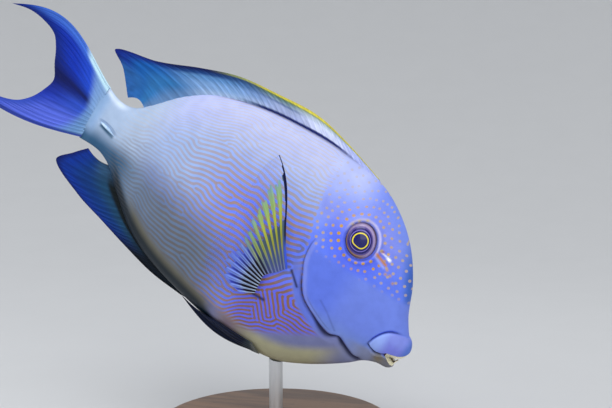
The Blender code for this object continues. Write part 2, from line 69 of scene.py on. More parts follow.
BROADEST = 60.0
SECTION_SKEW = 0.16

# Mouth, gill cover, eye, nostrils and spine: places on the flank, sizes and slants.
LIP_AT = (7.2, 1.8)
LIP_HALF = (7.5, 4.5)
LIP_LIFT = math.radians(18.0)
LIP_SAG = 0.035
LIP_TAPER = 0.32
LIP_LOW = ((0.35, 1.3), (1.2, 0.7), (2.8, -0.2), (4.9, -0.8), (7.0, -1.4), (8.5, -2.8), (10.5, -3.5),
           (12.3, -3.0), (14.2, -2.2))
JAW_TOP = ((0.35, -5.4), (2.6, -5.4), (4.5, -4.2), (6.0, -3.2), (7.1, -2.8), (8.5, -3.2), (10.5, -3.8),
           (12.3, -3.3), (14.2, -2.4))
MOUTH_BACK = 14.0
GAPE_BACK = 7.2
GAPE_SOFT = 0.35
MOUTH_DEPTH = 4.2
GILL_EDGE = ((12.3, -9.3), (14.0, -9.1), (16.9, -8.7), (20.7, -6.8), (23.3, -5.4), (25.1, -5.5), (27.0, -6.3),
             (29.0, -6.1), (32.0, -5.0), (35.2, -3.5), (38.2, -2.0), (41.3, 0.0), (43.8, 2.9), (46.2, 7.2),
             (48.4, 11.7), (49.3, 17.0), (48.9, 21.0), (47.2, 26.0), (44.6, 32.0))
EYE_AT = (35.9, 28.1)
EYE_HALF = (5.8, 6.9, 4.0)
EYE_BULGE = 1.5
PUPIL_RING = 2.95
PUPIL_CUT = 2.6
PUPIL_BACK = 0.4
PUPIL_CORNER = (-0.64, -0.77)
NOSTRILS = ((24.9, 27.7, 0.5), (27.6, 28.6, 0.4))
SPINE_AT = (138.2, 6.2)
SPINE_HALF = (3.8, 0.85, 0.9)
SPINE_LEAN = math.radians(43.0)
SHEATH_HALF = (4.8, 1.5)
SHEATH_TILT = 0.15

# Relief of the skin, in millimetres.
LIP_SWELL = 1.0
LIP_GROOVE = 0.55
MOUTH_CREASE = 0.8
JAW_SWELL = 0.45
GILL_RAISE = 0.75
GILL_GROOVE = 0.5
GILL_SLOPE = 7.0
ORBIT_RIM = 0.55
ORBIT_SWELL = 0.35
SOCKET_DEPTH = 2.6
NOSTRIL_RIM = 0.22
NOSTRIL_DEPTH = 0.35
CHEEK_SWELL = 0.45
SNOUT_HOLLOW = 0.35
FIN_ROOT_SWELL = 0.75
SHEATH_DEPTH = 0.55

# Small marks: places, or the ends of strokes, on the flank.
COVER_RIDGE = ((36.0, 2.6), (32.0, 0.2), (26.4, -4.2))
GILL_NOTCH = ((50.3, 5.9), (47.9, 3.9), (45.6, 1.9))
FIN_CREASE = ((57.5, -9.9), (53.2, -9.4))
SPINE_SHADOW = ((141.0, 5.4), (135.0, 4.4))
NOSTRIL_STREAK = ((28.9, 27.0), (24.3, 25.3))
NOSTRIL_SHEEN = ((28.6, 25.9), (24.4, 24.2))
NOSTRIL_GLEAM = ((25.2, 27.8), (24.0, 27.3))
GLEAM_TAIL = ((27.8, 28.3), (25.7, 27.9))
GOLD_SPOTS = ((22.9, 24.1), (21.0, 22.9), (18.7, 21.1), (22.6, 22.6))
ORBIT_FLECKS = ((40.3, 33.3), (38.1, 34.9), (41.6, 31.3))
MARK_WIDTH = 0.5

# Fins: where each starts on the body, the (share of the row, s, h) of its rays' tips, how far its
# rays bow, and how far the paired ones stand off the body.
TAIL_END = 146.0
DORSAL_BASE = (42.0, 131.0)
DORSAL_TIPS = ((0.00, 44.0, 47.9), (0.12, 60.0, 52.0), (0.27, 75.0, 54.2), (0.42, 91.0, 52.4),
               (0.57, 106.5, 49.7), (0.70, 120.5, 44.2), (0.82, 136.0, 37.0), (0.91, 152.0, 32.0),
               (0.955, 145.8, 27.6), (1.00, 138.5, 19.4))
ANAL_BASE = (78.0, 131.0)
ANAL_TIPS = ((0.00, 82.0, -31.2), (0.20, 96.0, -30.9), (0.40, 110.0, -28.5), (0.60, 124.0, -25.5),
             (0.75, 137.0, -22.6), (0.86, 150.6, -16.8), (0.93, 146.0, -10.2), (1.00, 142.0, -5.6))
CAUDAL_BASE = (18.4, -3.4)
CAUDAL_TIPS = ((0.00, 193.0, 25.4), (0.10, 187.0, 26.7), (0.20, 181.2, 26.0), (0.30, 175.6, 23.7),
               (0.38, 172.5, 19.4), (0.46, 170.0, 13.9), (0.53, 167.2, 8.7), (0.60, 168.5, 3.5),
               (0.70, 171.4, -2.0), (0.80, 176.0, -6.2), (0.90, 184.0, -8.8), (1.00, 195.0, -11.2))
CAUDAL_CUP = 7.0
CAUDAL_BOWS = (8.8, 3.4)
PECTORAL_AT = (53.4, -1.5)
PECTORAL_BASE = ((0.00, 51.8, 6.1), (0.25, 54.2, 2.7), (0.50, 57.4, -0.9), (0.75, 57.3, -4.8),
                 (1.00, 57.0, -8.7))
PECTORAL_TIPS = ((0.00, 73.6, 40.2), (0.12, 76.2, 33.6), (0.35, 76.6, 18.6), (0.55, 76.4, 7.0),
                 (0.70, 78.2, -0.3), (0.82, 77.3, -7.2), (0.92, 72.4, -12.2), (1.00, 63.4, -12.4))
PECTORAL_FLARE = (10.5, 4.0)
LEADING_RAY_BOW = 4.4
LEADING_SHARE = 0.3
PECTORAL_OFF = 1.2
PECTORAL_LEAN = math.radians(22.0)
PELVIC_BASE = ((44.6, -29.8), (48.5, -27.2))
PELVIC_TIPS = ((0.00, 80.5, -29.9), (0.35, 75.0, -30.2), (0.70, 68.5, -29.4), (1.00, 62.5, -27.9))
PELVIC_APART = 3.6
PELVIC_CLEAR = 1.15
PELVIC_BOW = 3.9
ROOT_GAP = 0.4
ROOT_DEPTH = 0.3

# Build of a fin: rays, points along a ray, half thickness of ray and web at the root and at the
# edge, and the share of the way out from which the rays fork.
DORSAL_BUILD = (36, 56, (0.75, 0.5), (0.26, 0.12), 0.45)
ANAL_BUILD = (28, 48, (0.7, 0.45), (0.26, 0.12), 0.45)
CAUDAL_BUILD = (17, 90, (1.0, 0.8), (0.24, 0.11), 0.25)
PECTORAL_BUILD = (16, 110, (0.72, 0.5), (0.2, 0.07), 0.3)
PELVIC_BUILD = (6, 60, (0.6, 0.4), (0.26, 0.12), 0.4)
POINTS_PER_RAY = 12

# Teeth: (s of the front one, how far back the last ones stand, half width of the arch).
UPPER_ARCH = (0.7, 6.8, 5.1)
LOWER_ARCH = (2.8, 4.6, 3.7)
TOOTH_RINGS = 6
TOOTH_SIDES = 6
TOOTH_SIZE = 0.24
TOOTH_TIP = 0.05

# Pattern of the skin: distance between its lines, the grid it is solved on, how it grows, and the
# rings of dots round the eye.
LINE_PERIOD = 2.1
GRID_STEP = 0.25
GRID_SIZE = (720, 512)
GRID_LOW = -64.0
PATTERN_SEED = 11
PATTERN_STEPS = 180
PATTERN_PACE = 0.5
LINE_GROWTH = 0.30
DOT_GROWTH = 1.3
LINE_START = 0.62
LINE_CLIMB = 0.62
LINE_WOBBLE = 0.62
START_NOISE = 0.12
EYE_DOTS = 20
EYE_DOT_RING = (7.8, 8.7, 0.9)
DOT_RINGS = 12
DOT_RING_STEP = 0.34
DOT_WIDTH = 0.48
INNER_DOT_WIDTH = 0.58
DOT_STRAY = 0.22
INNER_DOT_STRAY = 0.08
DOT_REACH = 9
DOT_GAP = -0.45
DOT_PEAK = 1.75
DOT_HOLD = 0.3

# Studio, in metres: name, size, energy, place and colour of the lights, and the bent floor.
LIGHT_AIM = (0.0, 0.0, 0.08)
LIGHTS = (("top", 1.2, 15.0, (0.15, -0.45, 1.45), (0.97, 0.98, 1.0)),
          ("front", 0.7, 3.6, (0.55, -0.85, 0.45), (1.0, 0.99, 0.97)),
          ("left", 0.6, 2.4, (-0.75, -0.45, 0.40), (0.95, 0.97, 1.0)))
FLOOR_RADIUS = 0.4
FLOOR_SHARE = 0.15
WALL_BEND = 1.4
WALL_TURN = math.radians(80.0)


def srgb(r, g, b):
    """Linear colour of an 8-bit sRGB colour."""
    def one(c):
        c = c / 255.0
        return c / 12.92 if c <= 0.04045 else ((c + 0.055) / 1.055) ** 2.4
    return np.array([one(r), one(g), one(b)])


FLANK_BLUE = srgb(104, 128, 250)
FLANK_TAN = srgb(158, 130, 124)
# Paler colours of the upper flank: painted sheen of the light from above.
TOP_SHEEN_BLUE = srgb(152, 176, 236)
TOP_SHEEN_TAN = srgb(158, 160, 180)
HEAD_BLUE = srgb(94, 122, 238)
CHEEK_BLUE = srgb(108, 131, 224)
CHEEK_REAR = srgb(92, 117, 222)
CHEST_BLUE = srgb(98, 104, 232)
CHEST_TAN = srgb(132, 98, 84)
# Paler nape colours: painted sheen of the light from above.
NAPE_SHEEN = srgb(172, 182, 232)
NAPE_SHEEN_TAN = srgb(186, 176, 172)
DOT_PALE = srgb(178, 160, 154)
DOT_GOLD = srgb(196, 150, 62)
DOT_ZONE_BLUE = srgb(126, 138, 228)
REAR_PALE = srgb(150, 176, 222)
# Lower rear flank colours, darkened by painted shade.
REAR_GREY = srgb(158, 156, 176)
LOW_SHADE_SLATE = srgb(94, 114, 142)
LOW_SHADE_OLIVE = srgb(96, 94, 98)
BELLY = srgb(166, 164, 136)
BELLY_REAR = srgb(94, 92, 80)
UNDER_CHEST = srgb(118, 104, 118)
THROAT = srgb(114, 120, 164)
COVERED_TAN = srgb(106, 110, 158)
STRIP_BLUE = srgb(96, 116, 214)
STRIP_LOW = srgb(128, 136, 190)
JAW_TEAL = srgb(120, 122, 130)
# Colour of the painted shadow in the tail spine's groove.
SPINE_SHADOW_TEAL = srgb(30, 84, 112)
CHIN_GREY = srgb(126, 134, 168)
LIP_BLUE = srgb(114, 122, 214)
LIP_PALE = srgb(144, 168, 238)
LIP_FRONT = srgb(80, 112, 200)
GROOVE_BLUE = srgb(34, 66, 210)
JAW_BROWN = srgb(128, 116, 92)
STALK = srgb(160, 180, 208)
# Painted shade on the tail stalk's lower side.
STALK_LOW_SHADE = srgb(40, 84, 120)
STALK_END = srgb(128, 160, 200)
# Painted highlight on the tail stalk's top edge.
STALK_HIGHLIGHT = srgb(220, 234, 252)
STREAK_BROWN = srgb(200, 132, 62)
EYE_BLUE = srgb(84, 104, 240)
FRONT_BLUE = srgb(108, 140, 230)
SNOUT_BLUE = srgb(54, 98, 190)
# Painted highlight just in front of the gill cover's edge.
COVER_EDGE_HIGHLIGHT = srgb(132, 146, 226)
CHEEK_LOW = srgb(108, 132, 200)
# Painted shadow on the underside by the anal fin.
UNDERSIDE_SHADOW = srgb(0, 20, 32)
ORBIT_PALE = srgb(206, 200, 236)
FLECK = srgb(222, 196, 96)
RUSTY = srgb(190, 110, 90)
MOUTH_BROWN = srgb(150, 88, 48)
SHEEN_BLUE = srgb(168, 184, 250)
# Colour of the painted shade in the skin's creases.
CREASE_SHADE = srgb(14, 16, 58)
# White of the painted glint by the front nostril.
GLINT_WHITE = np.ones(3) * 0.97


class Line:
    """Smooth curve through (x, y) points, read at many places at once."""

    def __init__(self, points):
        self.x, self.y = np.array(points, float).T
        last = len(self.x) - 1
        low = np.maximum(np.arange(last + 1) - 1, 0)
        high = np.minimum(np.arange(last + 1) + 1, last)
        self.slope = (self.y[high] - self.y[low]) / (self.x[high] - self.x[low])

    def __call__(self, x):
        x = np.clip(x, self.x[0], self.x[-1])
        i = np.clip(np.searchsorted(self.x, x, side="right") - 1, 0, len(self.x) - 2)
        step = self.x[i + 1] - self.x[i]
        t = (x - self.x[i]) / step
        rise = (2 * t ** 3 - 3 * t ** 2 + 1) * self.y[i] + (3 * t ** 2 - 2 * t ** 3) * self.y[i + 1]
        bend = (t ** 3 - 2 * t ** 2 + t) * self.slope[i] + (t ** 3 - t ** 2) * self.slope[i + 1]
        return rise + step * bend


BACK = Line(BACK_LINE)
LOWER = Line(BELLY_LINE)
WIDTH = Line(HALF_WIDTH)
LIP_EDGE = Line(LIP_LOW)
JAW_EDGE = Line(JAW_TOP)
WAVE = 2 * math.pi / LINE_PERIOD
SIN, COS = math.sin(PITCH), math.cos(PITCH)


def smooth(low, high, x):
    t = np.clip((x - low) / (high - low), 0.0, 1.0)
    return t * t * (3 - 2 * t)


def bell(x, width):
    return np.exp(-(x / width) ** 2)


def mix(a, b, t):
    return a + (b - a) * t


def lay(colour, other, amount):
    """Blends a colour over the colours of many points, by an amount at each."""
    return colour + (other - colour) * amount[..., None]


def mid_height(s):
    return (BACK(s) + LOWER(s)) / 2


def half_height(s):
    return (BACK(s) - LOWER(s)) / 2


def section_width(s, rise):
    """Half width of the body where the height is at rise, from -1 below to 1 above."""
    cosine = np.sqrt(np.clip(1.0 - rise ** 2, 0.0, 1.0))
    return WIDTH(s) * cosine ** (1.0 + SECTION_SKEW * rise)


def flank_width(s, h):
    return section_width(s, np.clip((h - mid_height(s)) / half_height(s), -1.0, 1.0))


SNOUT_X = ROD_UNDER * COS - float(LOWER(ROD_UNDER)) * SIN
SNOUT_Z = BASE_HEIGHT + CHIN_CLEARANCE + CHIN_DEPTH


def to_world(s, h, w):
    """World metres of level-fish millimetres. Positive w is the right flank, towards -Y."""
    x = SNOUT_X - s * COS + h * SIN
    z = SNOUT_Z + s * SIN + h * COS
    return np.stack([x, -w + 0 * x, z], axis=-1) * MM


def surface_normals(points):
    """Unit normals of a grid of points, from its two directions."""
    along = np.gradient(points, axis=0)
    around = np.gradient(points, axis=1)
    normal = np.cross(along, around)
    return normal / np.maximum(np.linalg.norm(normal, axis=-1, keepdims=True), 1e-12)


def noise_field(scales, seed):
    """Smooth repeatable noise of unit size on the pattern grid, with a scale each way."""
    rng = np.random.default_rng(seed)
    rough = np.fft.rfft2(rng.standard_normal(GRID_SIZE))
    ks = np.fft.fftfreq(GRID_SIZE[0], GRID_STEP)[:, None] * scales[0]
    kq = np.fft.rfftfreq(GRID_SIZE[1], GRID_STEP)[None, :] * scales[1]
    field = np.fft.irfft2(rough * np.exp(-(ks ** 2 + kq ** 2) * math.pi ** 2), s=GRID_SIZE)
    return field / field.std()


def pattern_place(s, q):
    """Place on the pattern grid of a point of the flank, at arc length q from its middle.

    The lines converge with the body towards the tail, and lie closer together on the back,
    the nape and the chest.
    """
    rear = np.maximum(s, BROADEST)
    narrow = np.clip(half_height(rear) / half_height(BROADEST), 0.68, 1.0)
    up = mid_height(BROADEST) + (q - mid_height(rear)) / narrow
    back = np.maximum(up - 30.0, 0.0)
    chest = smooth(68.0, 56.0, s) * np.maximum(-2.0 - up, 0.0)
    along = s + 3.0 * np.tanh((s - 50.0) / 9.0) * smooth(-2.0, -12.0, up)
    along = along + 3.4 * np.tanh((s - 33.0) / 10.0) * smooth(32.0, 44.0, up)
    return along, up + 0.48 * back - 0.34 * chest


def dot_zone(s, h):
    """One where the marks are dots, on the head, and nought where they are lines."""
    return smooth(1.8, -1.8, s - 51.0 - 0.34 * (h - 19.0)) * smooth(9.0, 15.0, h)


def eye_offsets(s, h):
    """Level and upright distance from the eye's centre, as the eye is set in the head."""
    ds, dh = EYE_AT[0] - s, h - EYE_AT[1]
    level = ds * COS + dh * SIN
    upright = -ds * SIN + dh * COS
    return level, upright


def segment_distance(s, h, one, two):
    run, up = two[0] - one[0], two[1] - one[1]
    t = np.clip(((s - one[0]) * run + (h - one[1]) * up) / (run * run + up * up), 0.0, 1.0)
    return np.hypot(s - one[0] - t * run, h - one[1] - t * up)


def gill_distance(s, h):
    """Signed distance to the gill cover's edge, positive in front of it."""
    steps = np.linspace(0.0, len(GILL_EDGE) - 1.0, 160)
    path = np.stack([Line(list(enumerate(line)))(steps) for line in zip(*GILL_EDGE)], axis=-1)
    near = np.full(s.shape, np.inf)
    signed = near
    for one, two in zip(path[:-1], path[1:]):
        away = segment_distance(s, h, one, two)
        run, up = two - one
        side = np.sign(run * (h - one[1]) - up * (s - one[0]))
        signed = np.where(away < near, away * side, signed)
        near = np.minimum(near, away)
    return signed


def lip_ring(s, h):
    """How far out in the upper lip's outline a point lies, its edge being 1."""
    back, above = s - LIP_AT[0], h - LIP_AT[1]
    ahead = -back * math.cos(LIP_LIFT) + above * math.sin(LIP_LIFT)
    behind = np.minimum(ahead, 0.0)
    rise = back * math.sin(LIP_LIFT) + above * math.cos(LIP_LIFT) + LIP_SAG * behind ** 2
    tall = LIP_HALF[1] * (1 - LIP_TAPER * np.minimum((behind / LIP_HALF[0]) ** 2, 1.0))
    return np.sqrt((ahead / LIP_HALF[0]) ** 2 + (rise / tall) ** 2)


def station_list():
    """Places s of the skin's rows, closest together at the mouth."""
    front = np.linspace(0.4, 3.0, 28, endpoint=False)
    mouth = np.linspace(3.0, 16.0, 66, endpoint=False)
    body = np.linspace(16.0, SKIN_END, 440)
    return np.concatenate([front, mouth, body])


class Flank:
    """Grid over one flank, with the measures that its shape and colours follow.

    s, h and w are its places and q is the arc length up from the flank's middle. gill is the
    distance in front of the gill cover's edge, level and upright are those from the eye, and
    eye and lip say how far out in their outlines a point lies, their edges being 1.
    """

    def __init__(self):
        turn = np.linspace(1.0, -1.0, SKIN_COLUMNS + 1)
        s, rises = np.meshgrid(station_list(), 1.25 * turn - 0.25 * turn ** 5, indexing="ij")
        h = mid_height(s) + half_height(s) * rises
        w = section_width(s, rises) * mix(1.0, 0.45, smooth(142.0, 147.0, s))
        steps = np.hypot(np.diff(h, axis=1), np.diff(w, axis=1))
        arc = np.concatenate([np.zeros((len(s), 1)), np.cumsum(steps, axis=1)], axis=1)
        middle = SKIN_COLUMNS // 2
        self.s, self.h, self.w = s, h, w
        self.q = mid_height(s) + arc[:, middle:middle + 1] - arc
        self.grid_s, self.grid_q = pattern_place(s, self.q)
        self.below_back, self.depth = BACK(s) - h, h - LOWER(s)
        self.up = s * SIN + h * COS
        self.gill = gill_distance(s, h)
        self.level, self.upright = eye_offsets(s, h)
        self.eye = np.sqrt((self.level / EYE_HALF[0]) ** 2 + (self.upright / EYE_HALF[1]) ** 2)
        self.lip = lip_ring(s, h)
        self.mouth_line = (LIP_EDGE(s) + JAW_EDGE(s)) / 2
        self.gape = smooth(0.0, GAPE_SOFT, LIP_EDGE(s) - h) * smooth(0.0, GAPE_SOFT, h - JAW_EDGE(s))
        self.gape = self.gape * smooth(GAPE_BACK, GAPE_BACK - 0.8, s)

    def spot(self, place, width, stretch=(1.0, 1.0)):
        """Bell round a place."""
        return bell(np.hypot((self.s - place[0]) / stretch[0], (self.h - place[1]) / stretch[1]), width)

    def stroke(self, path, width):
        """Bell along the straight runs of a path."""
        away = [segment_distance(self.s, self.h, one, two) for one, two in zip(path, path[1:])]
        return bell(np.min(away, axis=0), width)


def pattern_grid(flank):
    """Places s, q and h of the points of the pattern grid."""
    along, upward = (np.arange(count) * GRID_STEP for count in GRID_SIZE)
    s, q = np.meshgrid(along, GRID_LOW + upward, indexing="ij")
    rows = np.clip(np.searchsorted(flank.s[:, 0], along), 0, len(flank.s) - 1)
    h = [np.interp(line, flank.grid_q[row, ::-1], flank.h[row, ::-1]) for line, row in zip(q, rows)]
    return s, q, np.array(h)


def first_lines(s, q, h, seed):
    """Lines along the body, bent by noise. On the chest they lie level, upright or aslant."""
    def lines(place):
        return LINE_START * np.sin(WAVE * place)

    bends = 0.8 * noise_field((3.4, 5.5), seed) + 1.3 * noise_field((8.0, 12.0), seed + 1)
    wobble = LINE_WOBBLE * noise_field((2.4, 2.4), seed + 3)
    climb = LINE_CLIMB * np.minimum(s - 57.0, 0.0) * bell(h - 10.0, 8.0)
    up = s * SIN + h * COS
    chest = smooth(1.0, -3.0, h) * smooth(70.0, 63.0, s) * smooth(40.0, 43.0, s)
    level = chest * np.maximum(smooth(56.5, 59.5, s), smooth(14.5, 12.0, up))
    plumb = chest * smooth(42.0, 44.5, s) * smooth(58.5, 56.0, s) * smooth(12.0, 14.5, up)
    fin_root = smooth(47.5, 49.5, s) * smooth(60.0, 58.5, s)
    fin_root = fin_root * smooth(-6.0, -3.5, h) * smooth(7.0, 5.0, h)
    u = lines(q + bends + climb)
    u = mix(u, lines(s * SIN + q * COS + wobble), level)
    u = mix(u, lines(s * COS - q * SIN + wobble), plumb)
    return mix(u, lines(0.78 * s + 0.62 * q + 0.5 * wobble), fin_root)


def held_dots(s, h, dots, rng):
    """Rings of dots round the eye: what the pattern is held to, and how firmly."""
    level, upright = eye_offsets(s, h)
    across, tall, lift = EYE_DOT_RING
    aim = np.full_like(s, DOT_GAP)
    for number in range(DOT_RINGS):
        grown = 1 + DOT_RING_STEP * number
        count = round(EYE_DOTS * grown)
        width, stray = (DOT_WIDTH, DOT_STRAY) if number else (INNER_DOT_WIDTH, INNER_DOT_STRAY)
        for k in range(count):
            turn = 2 * math.pi * (k + 0.3 + 0.5 * (number % 2)) / count
            stray_x, stray_y = rng.normal(0.0, stray, 2)
            x = across * grown * math.cos(turn) + stray_x
            y = lift + tall * grown * math.sin(turn) + stray_y
            i = round((EYE_AT[0] - x * COS + y * SIN) / GRID_STEP)
            if not 0 <= i < len(s):
                continue
            j = int(np.argmin(np.abs(h[i] - EYE_AT[1] - x * SIN - y * COS)))
            if number and dots[i, j] < 0.2:
                continue
            box = tuple(slice(max(at - DOT_REACH, 0), at + DOT_REACH + 1) for at in (i, j))
            dot = bell(np.hypot(level[box] - x, upright[box] - y), width)
            aim[box] = np.maximum(aim[box], DOT_GAP + DOT_PEAK * dot)
    ring = np.sqrt((level / across) ** 2 + ((upright - lift) / tall) ** 2)
    return aim, DOT_HOLD * np.maximum(smooth(1.26, 1.14, ring), smooth(0.35, 0.75, dots))


def grow_pattern(flank, seed):
    """Lines, mazes and dots on the unrolled flank: a Swift-Hohenberg equation.

    The lines start along the body, bend with noise and then settle. A square term in the
    equation breaks them into dots on the head, where rings of dots are held round the eye.
    """
    s, q, h = pattern_grid(flank)
    dots = dot_zone(s, h)
    rng = np.random.default_rng(seed + 2)
    noise = START_NOISE * rng.standard_normal(GRID_SIZE) * (1 + 2 * dots)
    u = first_lines(s, q, h, seed) * (1 - dots) + noise
    aim, hold = held_dots(s, h, dots, rng)
    ks = 2 * math.pi * np.fft.fftfreq(GRID_SIZE[0], GRID_STEP)[:, None]
    kq = 2 * math.pi * np.fft.rfftfreq(GRID_SIZE[1], GRID_STEP)[None, :]
    inverse = 1.0 / (1.0 - PATTERN_PACE * (LINE_GROWTH - ((ks ** 2 + kq ** 2) / WAVE ** 2 - 1) ** 2))
    for _ in range(PATTERN_STEPS):
        pushed = u + PATTERN_PACE * (DOT_GROWTH * dots * u * u - u ** 3)
        u = np.fft.irfft2(np.fft.rfft2(pushed) * inverse, s=GRID_SIZE)
        u += hold * (aim - u)
    return u


def read_grid(field, s, q):
    """Bilinear reading of a pattern grid at places on the flank."""
    i = np.clip(s / GRID_STEP, 0, GRID_SIZE[0] - 2)
    j = np.clip((q - GRID_LOW) / GRID_STEP, 0, GRID_SIZE[1] - 2)
    i0, j0 = i.astype(int), j.astype(int)
    a, b = i - i0, j - j0
    top = field[i0, j0] * (1 - a) * (1 - b) + field[i0 + 1, j0] * a * (1 - b)
    return top + field[i0, j0 + 1] * (1 - a) * b + field[i0 + 1, j0 + 1] * a * b


def mouth_relief(flank):
    s, h, lip = flank.s, flank.h, flank.lip
    swell = LIP_SWELL * np.clip(1 - lip ** 2, 0, 1) ** 0.45 * smooth(1.03, 0.97, lip)
    behind = smooth(5.0, 9.5, s) * smooth(-3.5, 0.0, h)
    groove = LIP_GROOVE * bell(lip - 1.05, 0.07) * (0.2 + 0.8 * behind)
    over = h - flank.mouth_line
    crease = bell(over, 0.3) * smooth(5.8, 7.2, s) * smooth(MOUTH_BACK + 0.5, MOUTH_BACK - 0.6, s)
    jaw = JAW_SWELL * bell(over + 1.3, 0.9) * smooth(2.0, 4.0, s) * smooth(13.5, 10.0, s)
    return swell - groove - MOUTH_CREASE * crease + jaw


def gill_relief(flank):
    s, h, gill = flank.s, flank.h, flank.gill
    cover = np.where(gill > 0, np.exp(-np.abs(gill) / GILL_SLOPE), smooth(-0.5, 0.0, gill))
    cover = cover * smooth(24.0, 15.0, h) * smooth(12.5, 17.0, s)
    groove = smooth(14.0, 4.0, h) * bell(gill + 0.5, 0.5) * smooth(12.5, 15.0, s)
    groove = groove + smooth(3.0, -1.0, h) * bell(gill + 0.9, 0.7) * smooth(16.0, 22.0, s)
    return GILL_RAISE * cover - GILL_GROOVE * groove


def relief(flank):
    """How far the skin stands out of the plain body, in millimetres."""
    out = mouth_relief(flank) + gill_relief(flank)
    out += ORBIT_RIM * bell(flank.eye - 1.13, 0.11) + ORBIT_SWELL * bell(flank.eye - 1.2, 0.5)
    out -= SOCKET_DEPTH * smooth(0.99, 0.84, flank.eye)
    for at_s, at_h, size in NOSTRILS:
        away = np.hypot(flank.s - at_s, flank.h - at_h)
        out += NOSTRIL_RIM * bell(away - size * 1.7, size * 0.6) - NOSTRIL_DEPTH * bell(away, size)
    out += CHEEK_SWELL * flank.spot((27.0, 6.0), 13.0, (1.3, 1.0))
    out -= SNOUT_HOLLOW * flank.spot((15.0, 14.0), 8.0)
    out += FIN_ROOT_SWELL * flank.spot(PECTORAL_AT, 6.0, (0.9, 1.5))
    back, above = flank.s - SPINE_AT[0], flank.h - SPINE_AT[1]
    sheath = np.hypot(back / SHEATH_HALF[0], (above - SHEATH_TILT * back) / SHEATH_HALF[1])
    return out - SHEATH_DEPTH * smooth(1.1, 0.7, sheath)


class SkinPaint:
    """Ground colour, mark colour and strength of the marks, at each point of the flank."""

    def __init__(self, shape):
        self.ground = np.broadcast_to(FLANK_BLUE, shape + (3,))
        self.marks = np.broadcast_to(FLANK_TAN, shape + (3,))
        self.amount = np.ones(shape)

    def wash(self, colour, share, marks=None):
        """Lays a colour over the ground, and one over the marks if it is given."""
        self.ground = lay(self.ground, colour, share)
        if marks is not None:
            self.tint(marks, share)

    def tint(self, colour, share):
        """Lays a colour over the marks."""
        self.marks = lay(self.marks, colour, share)

    def fade(self, share):
        """Makes the marks weaker."""
        self.amount = self.amount * (1 - share)


def paint_flank(paint, flank):
    s, h = flank.s, flank.h
    # Paler towards the back: painted sheen of the light from above.
    paint.wash(TOP_SHEEN_BLUE, smooth(16.0, 36.0, h), TOP_SHEEN_TAN)
    rear = smooth(74.0, 106.0, s)
    paint.wash(REAR_PALE, rear * smooth(-8.0, 10.0, h))
    paint.tint(REAR_GREY, rear * 0.9)
    # Darker slate ground and olive marks low on the rear flank: painted shade of the light from above.
    low = smooth(8.0, -12.0, h - 0.16 * (s - 70.0)) * smooth(60.0, 84.0, s)
    paint.wash(LOW_SHADE_SLATE, low, LOW_SHADE_OLIVE)
    paint.tint(COVERED_TAN, bell(s - 51.0, 3.2) * smooth(24.0, 17.0, h))
    paint.wash(CHEST_BLUE, smooth(68.0, 58.0, s) * smooth(6.0, -4.0, h), CHEST_TAN)


def paint_head(paint, flank):
    s, h, level, upright, eye = flank.s, flank.h, flank.level, flank.upright, flank.eye
    # Paler nape with weaker marks: painted sheen of the light from above.
    nape = smooth(22.0, 3.0, flank.below_back) * smooth(30.0, 48.0, s)
    paint.wash(NAPE_SHEEN, nape, NAPE_SHEEN_TAN)
    paint.fade(0.45 * nape)
    head = dot_zone(s, h)
    ahead = 0.7 * level + upright
    paint.wash(HEAD_BLUE, smooth(54.0, 46.0, s) * (1 - nape) * smooth(4.0, 12.0, h))
    paint.tint(DOT_PALE, head * (1 - 0.7 * nape))
    paint.wash(DOT_ZONE_BLUE, head * smooth(-7.0, 5.0, ahead) * (1 - nape))
    before_eye = smooth(1.0, 5.0, level) * smooth(-6.0, -3.0, upright)
    paint.tint(DOT_GOLD, smooth(2.3, 1.5, eye) * (1 - 0.7 * before_eye))
    paint.wash(EYE_BLUE, smooth(2.4, 1.2, eye) * smooth(5.0, -4.0, ahead) * 0.7)
    paint.wash(FRONT_BLUE, smooth(8.0, 0.0, flank.below_back) * smooth(46.0, 30.0, s) * 0.6)
    bridge = smooth(7.0, 1.0, flank.below_back) * smooth(24.0, 14.0, s) * smooth(6.0, 9.0, h)
    paint.wash(SNOUT_BLUE, bridge)


def paint_cheek(paint, flank):
    s, h, gill = flank.s, flank.h, flank.gill
    cover = smooth(-0.4, 0.6, gill)
    plain = smooth(18.5, 15.5, h) * cover
    paint.wash(lay(CHEEK_REAR, CHEEK_BLUE, smooth(36.0, 26.0, s)), plain)
    paint.fade(plain)
    paint.fade(0.4 * smooth(22.0, 17.0, h) * cover)
    # Pale band just in front of the gill cover's raised edge: painted highlight.
    paint.wash(COVER_EDGE_HIGHLIGHT, bell(gill - 0.8, 0.8) * smooth(26.0, 18.0, h) * 0.6)
    paint.wash(CHEEK_LOW, smooth(2.0, -6.0, h) * cover * 0.8)


def paint_stalk(paint, flank):
    s, h = flank.s, flank.h
    stalk = smooth(112.0, 128.0, s)
    paint.wash(STALK, stalk)
    # Teal on the stalk's lower side: painted shade.
    paint.wash(STALK_LOW_SHADE, stalk * smooth(6.5, -1.5, h))
    # Painted shadow in the spine's groove.
    paint.wash(SPINE_SHADOW_TEAL, flank.stroke(SPINE_SHADOW, 0.6) * 0.8)
    paint.wash(STALK_END, smooth(140.5, 146.0, s) * smooth(-2.0, 4.0, h))
    # Painted highlight along the top edge of the tail stalk.
    paint.wash(STALK_HIGHLIGHT, bell(flank.below_back - 0.9, 1.0) * smooth(134.0, 139.0, s) * 0.7)
    paint.fade(smooth(126.0, 138.0, s))
    paint.fade(0.45 * smooth(96.0, 118.0, s))


